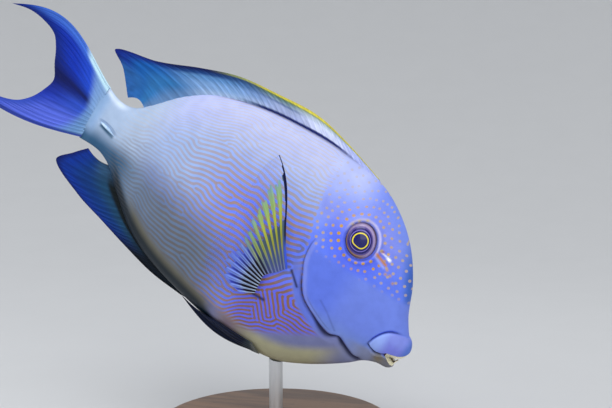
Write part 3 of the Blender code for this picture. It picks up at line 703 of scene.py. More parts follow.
def paint_underside(paint, flank):
    s, h, gill, up, depth = flank.s, flank.h, flank.gill, flank.up, flank.depth
    behind_gill = smooth(-0.3, -1.0, gill)
    under = behind_gill * smooth(10.5, 7.0, up) * smooth(72.0, 60.0, s)
    paint.wash(lay(UNDER_CHEST, THROAT, smooth(56.0, 47.0, s)), under)
    paint.fade(under)
    strip = behind_gill * smooth(-4.2, -3.0, gill) * smooth(12.0, 6.0, h)
    paint.wash(STRIP_LOW, strip * (1 - 0.5 * under))
    paint.wash(STRIP_BLUE, strip * smooth(6.0, 14.0, up))
    paint.fade(strip)
    body = smooth(16.0, 30.0, s) * smooth(122.0, 110.0, s)
    belly = smooth(11.5, 6.5, depth) * body
    paint.wash(BELLY, belly * smooth(72.0, 58.0, s))
    paint.wash(UNDER_CHEST, belly * bell(s - 60.0, 7.0))
    paint.wash(BELLY_REAR, belly * smooth(60.0, 74.0, s))
    paint.fade(smooth(9.5, 6.0, depth) * body)
    # Painted shadow along the underside towards the anal fin, which also weakens the marks.
    rearward = smooth(60.0, 76.0, s)
    underside_shade = smooth(mix(3.6, 7.8, rearward), mix(1.2, 3.6, rearward), depth)
    underside_shade = underside_shade * smooth(54.0, 62.0, s) * smooth(134.0, 124.0, s)
    paint.wash(UNDERSIDE_SHADOW, underside_shade)
    paint.fade(0.7 * underside_shade)


def paint_mouth(paint, flank):
    s, h = flank.s, flank.h
    chin = smooth(24.0, 13.0, s) * smooth(-2.6, -5.0, h)
    paint.wash(CHIN_GREY, chin)
    paint.fade(chin)
    paint.wash(JAW_TEAL, smooth(12.0, 8.0, s) * smooth(-2.8, -3.6, h))
    paint.wash(JAW_BROWN, flank.spot((8.4, -5.2), 1.7) * 0.8)
    groove = bell(flank.lip - 1.1, 0.12) * smooth(6.0, 10.0, s) * smooth(-1.5, 1.0, h)
    paint.wash(GROOVE_BLUE, groove * 0.9)
    lip = smooth(1.05, 0.92, flank.lip)
    pale = np.maximum(smooth(7.0, 11.5, s), 0.3 * smooth(1.0, 4.0, h))
    paint.wash(lay(lay(LIP_BLUE, LIP_PALE, pale), LIP_FRONT, smooth(4.0, 1.2, s)), lip)
    paint.fade(lip)
    paint.wash(MOUTH_BROWN, flank.gape)


def paint_orbit(paint, flank):
    rim_top = bell(flank.eye - 1.06, 0.06) * smooth(-3.0, 3.0, flank.upright + flank.level)
    paint.wash(ORBIT_PALE, rim_top * 0.9)
    for place in ORBIT_FLECKS:
        paint.wash(FLECK, flank.spot(place, MARK_WIDTH) * 0.8)
    paint.fade(smooth(1.13, 1.03, flank.eye))


def paint_nostrils(paint, flank):
    # The blue sheen and the white gleam by the front nostril are painted highlights.
    sheen = flank.stroke(NOSTRIL_SHEEN, MARK_WIDTH)
    streak = flank.stroke(NOSTRIL_STREAK, MARK_WIDTH)
    paint.wash(SHEEN_BLUE, sheen * 0.6)
    paint.wash(STREAK_BROWN, streak)
    paint.fade(np.maximum(streak, sheen))
    for place in GOLD_SPOTS:
        paint.wash(DOT_GOLD, flank.spot(place, MARK_WIDTH) * 0.9)
    gleam = np.maximum(flank.stroke(NOSTRIL_GLEAM, MARK_WIDTH), 0.6 * flank.stroke(GLEAM_TAIL, 0.3))
    paint.wash(GLINT_WHITE, np.minimum(1.2 * gleam, 1.0))
    paint.fade(gleam)
    *place, size = NOSTRILS[1]
    paint.wash(RUSTY, flank.spot(place, size * 1.5) * 0.7)


def paint_skin(flank):
    paint = SkinPaint(flank.s.shape)
    for layer in (paint_flank, paint_head, paint_cheek, paint_stalk, paint_underside, paint_mouth,
                  paint_orbit, paint_nostrils):
        layer(paint, flank)
    return paint


def skin_shade(flank):
    """How much painted shade lies in the skin's creases, from 0 to 1."""
    s, h, gill = flank.s, flank.h, flank.gill
    wide = np.maximum(bell(s - 29.5, 4.5), 0.7 * smooth(26.0, 22.0, s)) * smooth(0.0, -3.0, h)
    slit = smooth(10.0, 4.0, h) * bell(gill + 0.35 + 0.7 * wide, 0.42 + 0.75 * wide)
    slit = np.maximum(slit, 0.75 * smooth(2.0, 9.0, h) * bell(gill + 0.2, 0.26))
    # Painted shade in the gill slit, fin roots, cover ridge, mouth, lip groove and under the eye.
    creases = (
        (0.95, slit * smooth(22.0, 16.0, h) * smooth(12.0, 14.5, s)),
        (0.45, bell(gill - 1.3, 0.2) * smooth(3.0, -1.0, h) * smooth(26.0, 31.0, s)),
        (0.95, flank.stroke(GILL_NOTCH, 0.45)),
        (0.90, flank.stroke(FIN_CREASE, 0.7)),
        (0.28, flank.stroke(COVER_RIDGE, 0.3)),
        (0.85, bell(h - flank.mouth_line, 0.35) * smooth(6.0, 7.0, s) * smooth(14.6, 13.6, s)),
        (0.50, bell(flank.lip - 1.06, 0.07) * smooth(5.0, 8.0, s) * smooth(-3.5, -1.5, h)),
        (0.35, flank.gape),
        (0.60, bell(flank.eye - 1.0, 0.04) * smooth(0.0, -4.0, flank.upright)),
        (0.80, bell(flank.below_back, 0.42) * smooth(48.0, 60.0, s) * smooth(114.0, 100.0, s)),
    )
    return np.max([strength * crease for strength, crease in creases], axis=0)


def skin_points(flank):
    """The flank's points with their relief, and with the open mouth turned in."""
    plain = np.stack([flank.s, flank.h, flank.w], axis=-1)
    normal = surface_normals(plain)
    normal *= np.sign(normal[..., 2:3] + 1e-9)
    for edge, outward in ((0, 1), (-1, -1)):
        normal[:, edge, 1] = outward * np.abs(normal[:, edge, 1])
        normal[:, edge, 2] = 0.0
    shaped = plain + normal * relief(flank)[..., None]
    inside_h = mix(flank.h, flank.mouth_line, 0.2)
    inside = np.stack([flank.s + MOUTH_DEPTH, inside_h, flank.w * 0.5], axis=-1)
    shaped = mix(shaped, inside, flank.gape[..., None])
    shaped[:, [0, -1], 2] = 0.0
    return shaped


def quads(grid, flip):
    """Four-cornered faces over a grid of vertex numbers."""
    a, b = grid[:-1, :-1].ravel(), grid[:-1, 1:].ravel()
    c, d = grid[1:, 1:].ravel(), grid[1:, :-1].ravel()
    return np.stack([a, d, c, b] if flip else [a, b, c, d], axis=-1)


def closed_index(shape):
    """Vertex numbers of a grid whose last column is its first one again."""
    index = np.arange(math.prod(shape)).reshape(shape)
    index[:, -1] = index[:, 0]
    return index


def link_mesh(name, points, faces):
    mesh = bpy.data.meshes.new(name)
    points = np.ascontiguousarray(points.reshape(-1, 3), dtype=np.float32)
    faces = np.ascontiguousarray(faces, dtype=np.int32)
    mesh.vertices.add(len(points))
    mesh.vertices.foreach_set("co", points.ravel())
    mesh.loops.add(faces.size)
    mesh.loops.foreach_set("vertex_index", faces.ravel())
    mesh.polygons.add(len(faces))
    starts = np.arange(0, faces.size, faces.shape[1], dtype=np.int32)
    mesh.polygons.foreach_set("loop_start", starts)
    mesh.update(calc_edges=True)
    mesh.validate()
    mesh.shade_smooth()
    obj = bpy.data.objects.new(name, mesh)
    bpy.context.scene.collection.objects.link(obj)
    return obj


def edit_mesh(obj, edit):
    """Runs edit(bm) on an object's mesh."""
    bm = bmesh.new()
    bm.from_mesh(obj.data)
    edit(bm)
    bm.to_mesh(obj.data)
    bm.free()


def drop_loose(obj):
    """Removes points that no face uses."""
    def edit(bm):
        for vert in [v for v in bm.verts if not v.link_faces]:
            bm.verts.remove(vert)
    edit_mesh(obj, edit)


def close_fan(obj, triangles):
    """Adds three-cornered faces to a mesh that is already linked."""
    def edit(bm):
        bm.verts.ensure_lookup_table()
        for triangle in triangles:
            bm.faces.new([bm.verts[i] for i in triangle]).smooth = True
    edit_mesh(obj, edit)


def set_colour(obj, name, colours):
    layer = obj.data.attributes.new(name, "FLOAT_COLOR", "POINT")
    rgba = np.ones((len(obj.data.vertices), 4), dtype=np.float32)
    rgba[:, :3] = colours.reshape(-1, 3)
    layer.data.foreach_set("color", rgba.ravel())


def set_value(obj, name, values):
    layer = obj.data.attributes.new(name, "FLOAT", "POINT")
    layer.data.foreach_set("value", np.ascontiguousarray(values, dtype=np.float32).ravel())


def set_uv(obj, *patches):
    """Lays the object's points out on the texture, one patch of (u, v) after the other."""
    uv = np.concatenate([np.stack(patch, axis=-1).reshape(-1, 2) for patch in patches])
    layer = obj.data.uv_layers.new(name="OFBake")
    corners = np.empty(len(obj.data.loops), dtype=np.int32)
    obj.data.loops.foreach_get("vertex_index", corners)
    layer.data.foreach_set("uv", np.ascontiguousarray(uv[corners], dtype=np.float32).ravel())


def sided(name, side):
    return name + ("_right" if side > 0 else "_left")


def dress(piece, slot, *nodes):
    """Joins a finished piece to the frame."""
    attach(piece, "root")
    if nodes:
        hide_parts(*nodes)


class Shader:
    """A Principled material put together node by node."""

    def __init__(self, name, roughness, **sockets):
        self.material = bpy.data.materials.new(name)
        self.material.use_nodes = True
        self.tree = self.material.node_tree
        self.principled = self.tree.nodes["Principled BSDF"]
        self.principled.inputs["Roughness"].default_value = roughness
        for socket, value in sockets.items():
            self.principled.inputs[socket.replace("_", " ")].default_value = value

    def node(self, kind, **values):
        made = self.tree.nodes.new(kind)
        for key, value in values.items():
            if key in made.inputs:
                made.inputs[key].default_value = value
            else:
                setattr(made, key, value)
        return made

    def link(self, source, target):
        self.tree.links.new(source, target)

    def plug(self, socket, value):
        """Gives a socket a number, a colour or another node's output."""
        if isinstance(value, (int, float)):
            socket.default_value = value
        elif isinstance(value, (tuple, np.ndarray)):
            socket.default_value = (*value[:3], 1.0)
        else:
            self.link(value, socket)

    def attribute(self, name, output="Fac"):
        return self.node("ShaderNodeAttribute", attribute_name=name).outputs[output]

    def multiply(self, one, two):
        made = self.node("ShaderNodeMath", operation="MULTIPLY")
        self.plug(made.inputs[0], one)
        self.plug(made.inputs[1], two)
        return made.outputs[0]

    def step(self, value, low, high):
        made = self.node("ShaderNodeMapRange", interpolation_type="SMOOTHSTEP")
        made.inputs["From Min"].default_value = low
        made.inputs["From Max"].default_value = high
        self.link(value, made.inputs["Value"])
        return made.outputs["Result"]

    def blend(self, factor, one, two, mode="MIX"):
        made = self.node("ShaderNodeMix", data_type="RGBA", blend_type=mode)
        for number, value in ((0, factor), (6, one), (7, two)):
            self.plug(made.inputs[number], value)
        return made.outputs[2]

    def texture(self, kind, stretch=None, **values):
        """A texture read at each point's place, which can be scaled along the axes first."""
        place = self.node("ShaderNodeNewGeometry").outputs["Position"]
        if stretch is not None:
            mapping = self.node("ShaderNodeMapping", Scale=stretch)
            self.link(place, mapping.inputs["Vector"])
            place = mapping.outputs["Vector"]
        made = self.node(kind, **values)
        self.link(place, made.inputs["Vector"])
        return made.outputs

    def noise(self, scale, detail=3.0, stretch=None, distortion=0.0):
        outputs = self.texture("ShaderNodeTexNoise", stretch, Scale=scale, Detail=detail,
                               Distortion=distortion)
        return outputs["Fac"]

    def bump(self, height, distance, strength, under=None):
        made = self.node("ShaderNodeBump", Strength=strength, Distance=distance)
        self.link(height, made.inputs["Height"])
        if under is not None:
            self.link(under, made.inputs["Normal"])
        return made.outputs["Normal"]

    def finish(self, colour, normal=None, roughness=None):
        for name, value in (("Base Color", colour), ("Normal", normal), ("Roughness", roughness)):
            if value is not None:
                self.plug(self.principled.inputs[name], value)
        return self.material


def skin_material():
    shader = Shader("fish_skin", 0.46, Coat_Weight=0.06, Coat_Roughness=0.3, Specular_IOR_Level=0.22)
    mark = shader.step(shader.attribute("mark"), -0.42, 0.42)
    shown = shader.multiply(mark, shader.attribute("amount"))
    ground = shader.attribute("ground", "Color")
    colour = shader.blend(shown, ground, shader.attribute("marks", "Color"))
    # Painted shade darkens the creases.
    colour = shader.blend(shader.attribute("shade"), colour, CREASE_SHADE)
    mottle = shader.step(shader.noise(260.0, 4.0), 0.25, 0.75)
    mottle = shader.blend(mottle, (0.95, 0.95, 0.96), (1.06, 1.06, 1.05))
    colour = shader.blend(1.0, colour, mottle, "MULTIPLY")
    scales = shader.texture("ShaderNodeTexVoronoi", Scale=2600.0)["Distance"]
    normal = shader.bump(scales, 0.00006, 0.35)
    normal = shader.bump(shader.noise(420.0), 0.0002, 0.12, normal)
    return shader.finish(colour, normal)


def make_skin():
    flank = Flank()
    shaped = skin_points(flank)
    rows, columns = flank.s.shape
    right, left = (to_world(shaped[..., 0], shaped[..., 1], side * shaped[..., 2]) for side in (1, -1))
    index = np.arange(rows * columns).reshape(rows, columns)
    mirror = index + rows * columns
    mirror[:, [0, -1]] = index[:, [0, -1]]
    faces = np.concatenate([quads(index, False), quads(mirror, True)])
    skin = link_mesh("skin", np.concatenate([right, left]), faces)

    dots = dot_zone(flank.s, flank.h)
    field = read_grid(grow_pattern(flank, PATTERN_SEED), flank.grid_s, flank.grid_q)
    mark = (field - 0.42 * dots) / (0.55 + 0.05 * dots)
    paint = paint_skin(flank)
    for name, colours in (("ground", paint.ground), ("marks", paint.marks)):
        set_colour(skin, name, np.concatenate([colours, colours]))
    for name, values in (("mark", mark), ("amount", paint.amount), ("shade", skin_shade(flank))):
        set_value(skin, name, np.concatenate([values, values]))
    u = (flank.s + 0.5) / (SKIN_END + 1.5)
    v = (flank.q - GRID_LOW) / (-4 * GRID_LOW)
    set_uv(skin, (u, v), (u, v + 0.5))
    drop_loose(skin)
    skin.data.materials.append(skin_material())
    dress(skin, "skin", "head", "lower_jaw", "torso", "tail_stalk")


def ray_ridges(a, v, rays, fork_at):
    """Height of the rays, 0 to 1, at share a of the row: each ray forks towards its tip."""
    beside = a * (rays - 1) - np.round(a * (rays - 1))
    fork = 0.25 * smooth(fork_at, 1.0, v)
    twig = 0.12 * smooth(fork_at + 0.25, 1.05, v)
    off = np.abs(np.abs(np.abs(beside) - fork) - twig)
    return np.exp(-(off / mix(0.20, 0.075, smooth(fork_at, 1.0, v))) ** 2)


def tip_lines(tips):
    rows = np.array(tips)
    return Line(rows[:, [0, 1]]), Line(rows[:, [0, 2]])


def fin_piece(name, point, build, paint, side_axis=(0.0, 1.0, 0.0), reach=None):
    """A thin closed fin. point(a, v) gives its middle surface and paint(...) its colours.

    a runs along the row of rays and v out along them. reach(a), if given, is how far from root
    to edge each ray runs before it has thinned out.
    """
    rays, rows, root, edge, fork_at = build
    columns = (rays - 1) * POINTS_PER_RAY + 1
    a, v = np.meshgrid(np.linspace(0, 1, columns), np.linspace(0, 1, rows + 1), indexing="ij")
    ridge = ray_ridges(a, v, rays, fork_at)
    if reach is not None:
        ridge = ridge * smooth(1.0, 0.7, v / reach(a))
    web = mix(root[1], edge[1], np.minimum(v * 1.4, 1.0))
    half = web + (mix(root[0], edge[0], v) - web) * ridge
    middle = point(a, v)
    shift = half[..., None] * np.array(side_axis) * MM
    index = np.arange(a.size).reshape(a.shape)
    other = index + a.size
    rim = np.concatenate([index[:, 0], index[-1, 1:], index[::-1, -1][1:], index[0, ::-1][1:]])
    band = np.stack([rim[:-1], rim[1:], rim[1:] + a.size, rim[:-1] + a.size], axis=-1)
    faces = np.concatenate([quads(index, True), quads(other, False), band])
    fin = link_mesh(name + "_rays", np.concatenate([middle + shift, middle - shift]), faces)
    set_colour(fin, "ground", np.tile(paint(a, v, ridge), (2, 1, 1)))
    set_uv(fin, (a * 0.48, v), (a * 0.48 + 0.5, v))
    return fin, a, v, ridge


def fin_material(name, roughness=0.5):
    shader = Shader(name, roughness, Specular_IOR_Level=0.15)
    normal = shader.bump(shader.noise(1500.0, 2.0), 0.00008, 0.3)
    return shader.finish(shader.attribute("ground", "Color"), normal)


def streaks(shape, seed, strength=0.16):
    """Fine light and dark strokes along the rays, as factors round one."""
    rng = np.random.default_rng(seed)
    knots = rng.standard_normal((shape[0], 7))
    knots = (np.roll(knots, 1, axis=0) + 2 * knots + np.roll(knots, -1, axis=0)) / 4
    at = np.linspace(0, 6, shape[1])
    low = np.minimum(at.astype(int), 5)
    return np.exp(strength * mix(knots[:, low], knots[:, low + 1], at - low))[..., None]


def paint_rows(v, *stops):
    """Colours that change along v through (v, red, green, blue) stops."""
    colour = np.broadcast_to(srgb(*stops[0][1:]), v.shape + (3,))
    for (low, *_), (high, *following) in zip(stops, stops[1:]):
        colour = lay(colour, srgb(*following), smooth(low, high, v))
    return colour


def paint_dorsal(a, v, ridge):
    # The navy band at the root of the front and middle rows is painted shade in the crease along the back.
    start = paint_rows(v, (0.0, 26, 36, 104), (0.11, 26, 36, 104), (0.17, 200, 208, 240),
                          (0.40, 204, 212, 242), (0.55, 186, 198, 220), (0.72, 172, 186, 190),
                          (0.79, 134, 150, 116), (0.86, 218, 208, 72), (1.0, 208, 194, 84))
    front = paint_rows(v, (0.0, 24, 36, 100), (0.09, 24, 36, 100), (0.15, 166, 178, 222),
                          (0.38, 160, 174, 212), (0.50, 104, 124, 168), (0.58, 130, 152, 168),
                          (0.72, 96, 126, 138), (0.82, 104, 128, 84), (0.90, 214, 204, 72),
                          (1.0, 206, 192, 84))
    middle = paint_rows(v, (0.0, 20, 34, 96), (0.07, 20, 34, 96), (0.13, 156, 176, 214),
                           (0.34, 118, 150, 200), (0.60, 66, 102, 152), (0.84, 38, 72, 118),
                           (0.93, 150, 160, 96), (1.0, 150, 160, 110))
    rear = paint_rows(v, (0.0, 156, 180, 214), (0.25, 122, 160, 208), (0.55, 86, 134, 188),
                         (0.74, 20, 62, 124), (0.90, 2, 26, 84), (1.0, 2, 20, 78))
    lobe = paint_rows(v, (0.0, 96, 132, 178), (0.25, 44, 112, 174), (0.60, 12, 86, 164),
                         (0.84, 4, 46, 138), (1.0, 2, 22, 112))
    colour = lay(start, front, smooth(0.30, 0.42, a))
    colour = lay(colour, middle, smooth(0.45, 0.58, a))
    colour = lay(colour, rear, smooth(0.55, 0.69, a))
    colour = lay(colour, lobe, smooth(0.78, 0.88, a))
    colour = lay(colour, srgb(40, 100, 166), smooth(0.925, 0.955, a) * smooth(0.3, 0.6, v) * 0.8)
    # The front rows take the nape's colour, with its painted sheen.
    body = smooth(0.24, 0.10, a) * smooth(0.78, 0.62, v)
    colour = lay(colour, NAPE_SHEEN, body) * streaks(a.shape, 21)
    return lay(colour, colour * 0.72, (1 - ridge) * 0.5 * smooth(0.28, 0.46, a))


def paint_anal(a, v, ridge):
    # Front rows and root line near black: the fin's own dark colour deepened by painted shadow under the
    # belly.
    front = paint_rows(v, (0.0, 6, 16, 22), (0.4, 4, 20, 34), (1.0, 0, 4, 18))
    rear = paint_rows(v, (0.0, 4, 16, 20), (0.09, 4, 16, 20), (0.16, 22, 66, 98), (0.5, 2, 52, 122),
                         (0.85, 0, 46, 140), (1.0, 0, 22, 96))
    colour = lay(front, rear, smooth(0.34, 0.66, a))
    colour = lay(colour, srgb(48, 84, 118), smooth(0.86, 0.97, a) * smooth(0.6, 0.25, v) * 0.8)
    colour = colour * streaks(a.shape, 22)
    return lay(colour, colour * 0.6, (1 - ridge) * 0.5)


def paint_caudal(a, v, ridge):
    # The upper lobe is painted darker than the lower: painted shade, as it turns away from the light above.
    upper = paint_rows(v, (0.0, 128, 160, 200), (0.10, 116, 152, 202), (0.27, 26, 70, 196),
                          (0.6, 8, 50, 178), (1.0, 4, 36, 130))
    lower = paint_rows(v, (0.0, 112, 148, 190), (0.10, 96, 136, 186), (0.32, 86, 106, 216),
                          (0.7, 80, 100, 210), (1.0, 50, 76, 182))
    inner = paint_rows(v, (0.0, 120, 154, 196), (0.10, 100, 138, 188), (0.26, 44, 78, 190),
                          (1.0, 24, 50, 170))
    colour = lay(upper, inner, smooth(0.48, 0.54, a))
    colour = lay(colour, lower, smooth(0.58, 0.78, a))
    # Painted highlights: lighter blue along the upper lobe's leading edge, and white near its root.
    edge_highlight = smooth(0.17, 0.05, a) * smooth(0.97, 0.7, v) * smooth(0.16, 0.3, v)
    colour = lay(colour, srgb(72, 122, 224), edge_highlight * 0.85)
    colour = lay(colour, srgb(196, 232, 250), smooth(0.12, 0.03, a) * smooth(0.34, 0.24, v))
    colour = lay(colour, srgb(22, 44, 132), smooth(0.93, 0.98, a) * 0.9)
    # Painted shadow in the fold between the lobes.
    fork = bell((a - mix(0.44, 0.50, v)) / mix(0.045, 0.085, v), 1.0) * smooth(0.10, 0.25, v)
    colour = lay(colour, srgb(2, 12, 74), fork * 0.9) * streaks(a.shape, 23, 0.10)
    return lay(colour, colour * 0.7, (1 - ridge) * 0.45 * smooth(0.12, 0.36, v))


def paint_pelvic(a, v, ridge):
    colour = paint_rows(v, (0.0, 104, 106, 98), (0.10, 48, 56, 56), (0.26, 6, 12, 28), (1.0, 2, 8, 30))
    return lay(colour, srgb(24, 50, 104), ridge * 0.25) * streaks(a.shape, 24)


def paint_pectoral(a, v, ridge):
    yellow = paint_rows(v, (0.0, 112, 124, 176), (0.12, 118, 132, 128), (0.26, 166, 168, 60),
                           (0.50, 184, 190, 62), (0.66, 150, 182, 110), (0.9, 110, 156, 190))
    olive = paint_rows(v, (0.0, 112, 124, 176), (0.15, 116, 134, 140), (0.35, 146, 160, 84),
                          (0.55, 132, 162, 112), (0.8, 104, 140, 184))
    pale = paint_rows(v, (0.0, 160, 178, 206), (0.22, 144, 166, 206), (0.42, 112, 136, 220),
                         (1.0, 84, 104, 214))
    rays = lay(yellow, olive, smooth(0.26, 0.38, a))
    rays = lay(rays, pale, smooth(0.42, 0.56, a))
    ray = a * (PECTORAL_BUILD[0] - 1)
    beside = ray - np.round(ray)
    split = bell(beside, 0.05) * smooth(0.04, 0.12, v) * smooth(0.6, 0.4, v)
    rays = lay(rays, rays * 0.35, split * mix(0.5, 0.9, smooth(0.3, 0.5, a)))
    web = paint_rows(v, (0.0, 74, 84, 140), (0.2, 66, 82, 128), (0.36, 70, 88, 96),
                        (0.55, 76, 98, 170))
    # Near-black webs between the rear rays near the root: painted shadow.
    dark = paint_rows(v, (0.0, 14, 6, 12), (0.24, 16, 8, 22), (0.36, 34, 40, 120), (0.6, 64, 78, 214))
    web = lay(web, dark, smooth(0.30, 0.48, a))
    thin = smooth(0.12, 0.36, v) * smooth(0.26, 0.42, a)
    raised = np.maximum(smooth(0.3 - 0.27 * thin, 0.65 - 0.53 * thin, ridge), smooth(0.46, 0.58, v))
    colour = lay(web, rays, raised) * streaks(a.shape, 25, 0.12)
    colour = lay(colour, srgb(10, 12, 60), smooth(0.034, 0.018, a) * smooth(0.1, 0.3, v))
    return lay(colour, srgb(60, 92, 226), smooth(0.06, 0.02, a) * smooth(0.32, 0.12, v))


def make_fin(name, slot, nodes, point, build, paint, roughness=0.5):
    """A fin of one opaque material."""
    fin, *_ = fin_piece(name, point, build, paint)
    fin.data.materials.append(fin_material(name + "_skin", roughness))
    dress(fin, slot, *nodes)


def make_middle_fin(name, base, tips, edge, outward, bulge, build, paint):
    """A fin along an edge of the body: outward is 1 on the back and -1 on the belly."""
    tip_s, tip_h = tip_lines(tips)

    def point(a, v):
        s = mix(*base, a)
        root = edge(s) - outward * ROOT_DEPTH
        bow = outward * bulge * np.sin(math.pi * v) * a
        return to_world(mix(s, tip_s(a), v), mix(root, tip_h(a), v) + bow, 0.0)

    make_fin(name, "dark_fin", [name], point, build, paint)


def make_caudal():
    tip_s, tip_h = tip_lines(CAUDAL_TIPS)

    def point(a, v):
        outward = 1 - 2 * a
        upper, lower = CAUDAL_BOWS
        bow = np.where(outward > 0, upper * np.sin(math.pi * v ** 1.25), lower * np.sin(math.pi * v))
        h = mix(mix(*CAUDAL_BASE, a), tip_h(a), v) + bow * outward * np.abs(outward)
        cup = CAUDAL_CUP * outward ** 2 * v ** 1.3
        return to_world(mix(TAIL_END + ROOT_GAP, tip_s(a), v), h, cup)

    nodes = ["caudal_fin_upper", "caudal_fin_lower"]
    make_fin("caudal_fin", "blue_fin", nodes, point, CAUDAL_BUILD, paint_caudal, 0.45)


def make_pectoral(side):
    """Opaque rays over a clear membrane; the rays narrow to nothing towards the fin's edge."""
    name = sided("pectoral_fin", side)
    base_s, base_h = tip_lines(PECTORAL_BASE)
    tip_s, tip_h = tip_lines(PECTORAL_TIPS)

    def point(a, v):
        s, h = base_s(a), base_h(a)
        w = flank_width(s, h) + PECTORAL_OFF + mix(*PECTORAL_FLARE, a) * v ** 0.9
        front = np.maximum(1 - a / LEADING_SHARE, 0.0)
        bow = mix(1 - 2 * a, LEADING_RAY_BOW * v ** 2, front) * np.sin(math.pi * v)
        return to_world(mix(s, tip_s(a), v) - bow, mix(h, tip_h(a), v) + bow * 0.5, side * w)

    def reach(a):
        return mix(0.96, 0.72, smooth(0.0, 0.55, a)) - 0.12 * smooth(0.7, 1.0, a) + 0.03 * np.sin(a * 61.0)

    tilt = math.sin(PECTORAL_LEAN)
    axis = (-COS * tilt, side * math.cos(PECTORAL_LEAN), SIN * tilt)
    fin, a, v, ridge = fin_piece(name, point, PECTORAL_BUILD, paint_pectoral, axis, reach)
    web_end = mix(0.42, 0.50, smooth(0.3, 0.45, a)) + 0.02 * np.sin(a * 53.0) + 0.04 * ridge
    # The web near the root is opaque; on the rear rays it carries the painted shadow.
    solid = (ridge > 0.4) | (v < web_end) | (a < 0.024 * (1 - v) ** 0.6)
    clear = ~(solid[:-1, :-1] | solid[1:, 1:])
    slots = np.zeros(len(fin.data.polygons), dtype=np.int32)
    slots[:2 * clear.size] = np.tile(clear.ravel(), 2)
    fin.data.polygons.foreach_set("material_index", slots)
    fin.data.materials.append(fin_material("pectoral_ray", 0.4))
    membrane = Shader("pectoral_membrane", 0.5, Alpha=0.05, Specular_IOR_Level=0.1)
    tint = membrane.blend(membrane.noise(300.0), srgb(70, 90, 232), srgb(96, 124, 250))
    fin.data.materials.append(membrane.finish(tint))
    dress(fin, "clear_fin", name)


def make_pelvic(side):
    name = sided("pelvic_fin", side)
    base_s, base_h = zip(*PELVIC_BASE)
    tip_s, tip_h = tip_lines(PELVIC_TIPS)

    def point(a, v):
        bow = PELVIC_BOW * (1 - a) * np.sin(math.pi * v)
        s = mix(mix(*base_s, a), tip_s(a), v)
        h = mix(mix(*base_h, a), tip_h(a), v) - bow
        return to_world(s, h, side * np.maximum(flank_width(s, h) + PELVIC_CLEAR, PELVIC_APART))

    make_fin(name, "dark_fin", [name], point, PELVIC_BUILD, paint_pelvic)


def flank_frame(s, h, side, lean=0.0):
    """A point of the flank, and directions along it at a lean from level, up it and out."""
    def at(s1, h1):
        return to_world(s1, h1, side * flank_width(s1, h1))
    here = at(s, h)
    out = np.cross(at(s - 0.5, h) - here, at(s, h + 0.5) - here)
    out /= np.linalg.norm(out)
    if out[1] * side > 0:
        out = -out
    level = np.array([math.cos(lean), 0.0, -math.sin(lean)])
    level -= out * (level @ out)
    level /= np.linalg.norm(level)
    return here, level, np.cross(out, level), out


def paint_eye(x, y):
    """Colours of the eye at x mm forward and y mm up from its middle."""
    reach = np.hypot(x + PUPIL_BACK, y)
    corner = PUPIL_CORNER[0] * (x + PUPIL_BACK) + PUPIL_CORNER[1] * y
    cut = np.maximum(corner, 0.0) * PUPIL_RING / PUPIL_CUT
    round_pupil = (reach ** 10 + cut ** 10) ** 0.1
    turn = np.arctan2(y, x)
    edge = 1.0 / np.sqrt((np.cos(turn) / EYE_HALF[0]) ** 2 + (np.sin(turn) / EYE_HALF[1]) ** 2)
    m = np.clip((reach - PUPIL_RING) / (0.97 * edge - PUPIL_RING), 0.0, 1.0)
    colour = paint_rows(m, (0.0, 14, 8, 92), (0.15, 16, 8, 88), (0.21, 136, 122, 214),
                           (0.27, 24, 14, 106), (0.42, 20, 10, 92), (0.48, 96, 80, 158),
                           (0.53, 70, 54, 130), (0.60, 140, 122, 170), (0.70, 174, 156, 194),
                           (0.86, 166, 146, 174), (0.98, 118, 94, 100))
    lower = smooth(0.1, 0.9, np.cos(turn - math.radians(215.0)))
    colour = lay(colour, srgb(122, 92, 96), lower * smooth(0.54, 0.62, m))
    gold = bell(m - 0.66, 0.04) + bell(m - 0.88, 0.05)
    colour = lay(colour, srgb(206, 160, 52), np.clip(gold, 0, 1) * lower * 0.9)
    colour = lay(colour, srgb(60, 34, 50), bell(m - 0.77, 0.03) * lower * 0.6)
    colour = lay(colour, srgb(244, 222, 38), smooth(PUPIL_RING, PUPIL_RING - 0.1, round_pupil))
    return lay(colour, srgb(2, 2, 92), smooth(PUPIL_RING - 0.38, PUPIL_RING - 0.48, round_pupil))


def make_eye(side):
    name = sided("eye", side)
    here, level, upright, out = flank_frame(*EYE_AT, side)
    if upright[2] < 0:
        upright = -upright
    centre = here - out * (EYE_HALF[2] - EYE_BULGE) * MM
    polar, turn = np.meshgrid(np.linspace(0.0, 1.75, 130), np.linspace(0, 2 * math.pi, 241), indexing="ij")
    x = EYE_HALF[0] * np.sin(polar) * np.cos(turn)
    y = EYE_HALF[1] * np.sin(polar) * np.sin(turn)
    deep = EYE_HALF[2] * np.cos(polar)
    points = centre + (x[..., None] * level + y[..., None] * upright + deep[..., None] * out) * MM
    index = closed_index(x.shape)
    first = index[1]
    cap = np.stack([first[:-1], first[1:], 0 * first[1:]], axis=-1)
    flip = np.cross(level, upright) @ out < 0
    eye = link_mesh(name + "_ball", points, quads(index[1:], flip))
    close_fan(eye, cap[:, ::-1] if flip else cap)
    set_colour(eye, "ground", paint_eye(x, y))
    set_uv(eye, (0.5 + x / 16.0, 0.5 + y / 16.0))
    drop_loose(eye)
    shader = Shader("eye_glass", 0.35, Coat_Weight=0.5, Coat_Roughness=0.03, Specular_IOR_Level=0.2)
    eye.data.materials.append(shader.finish(shader.attribute("ground", "Color")))
    dress(eye, "eye", name)


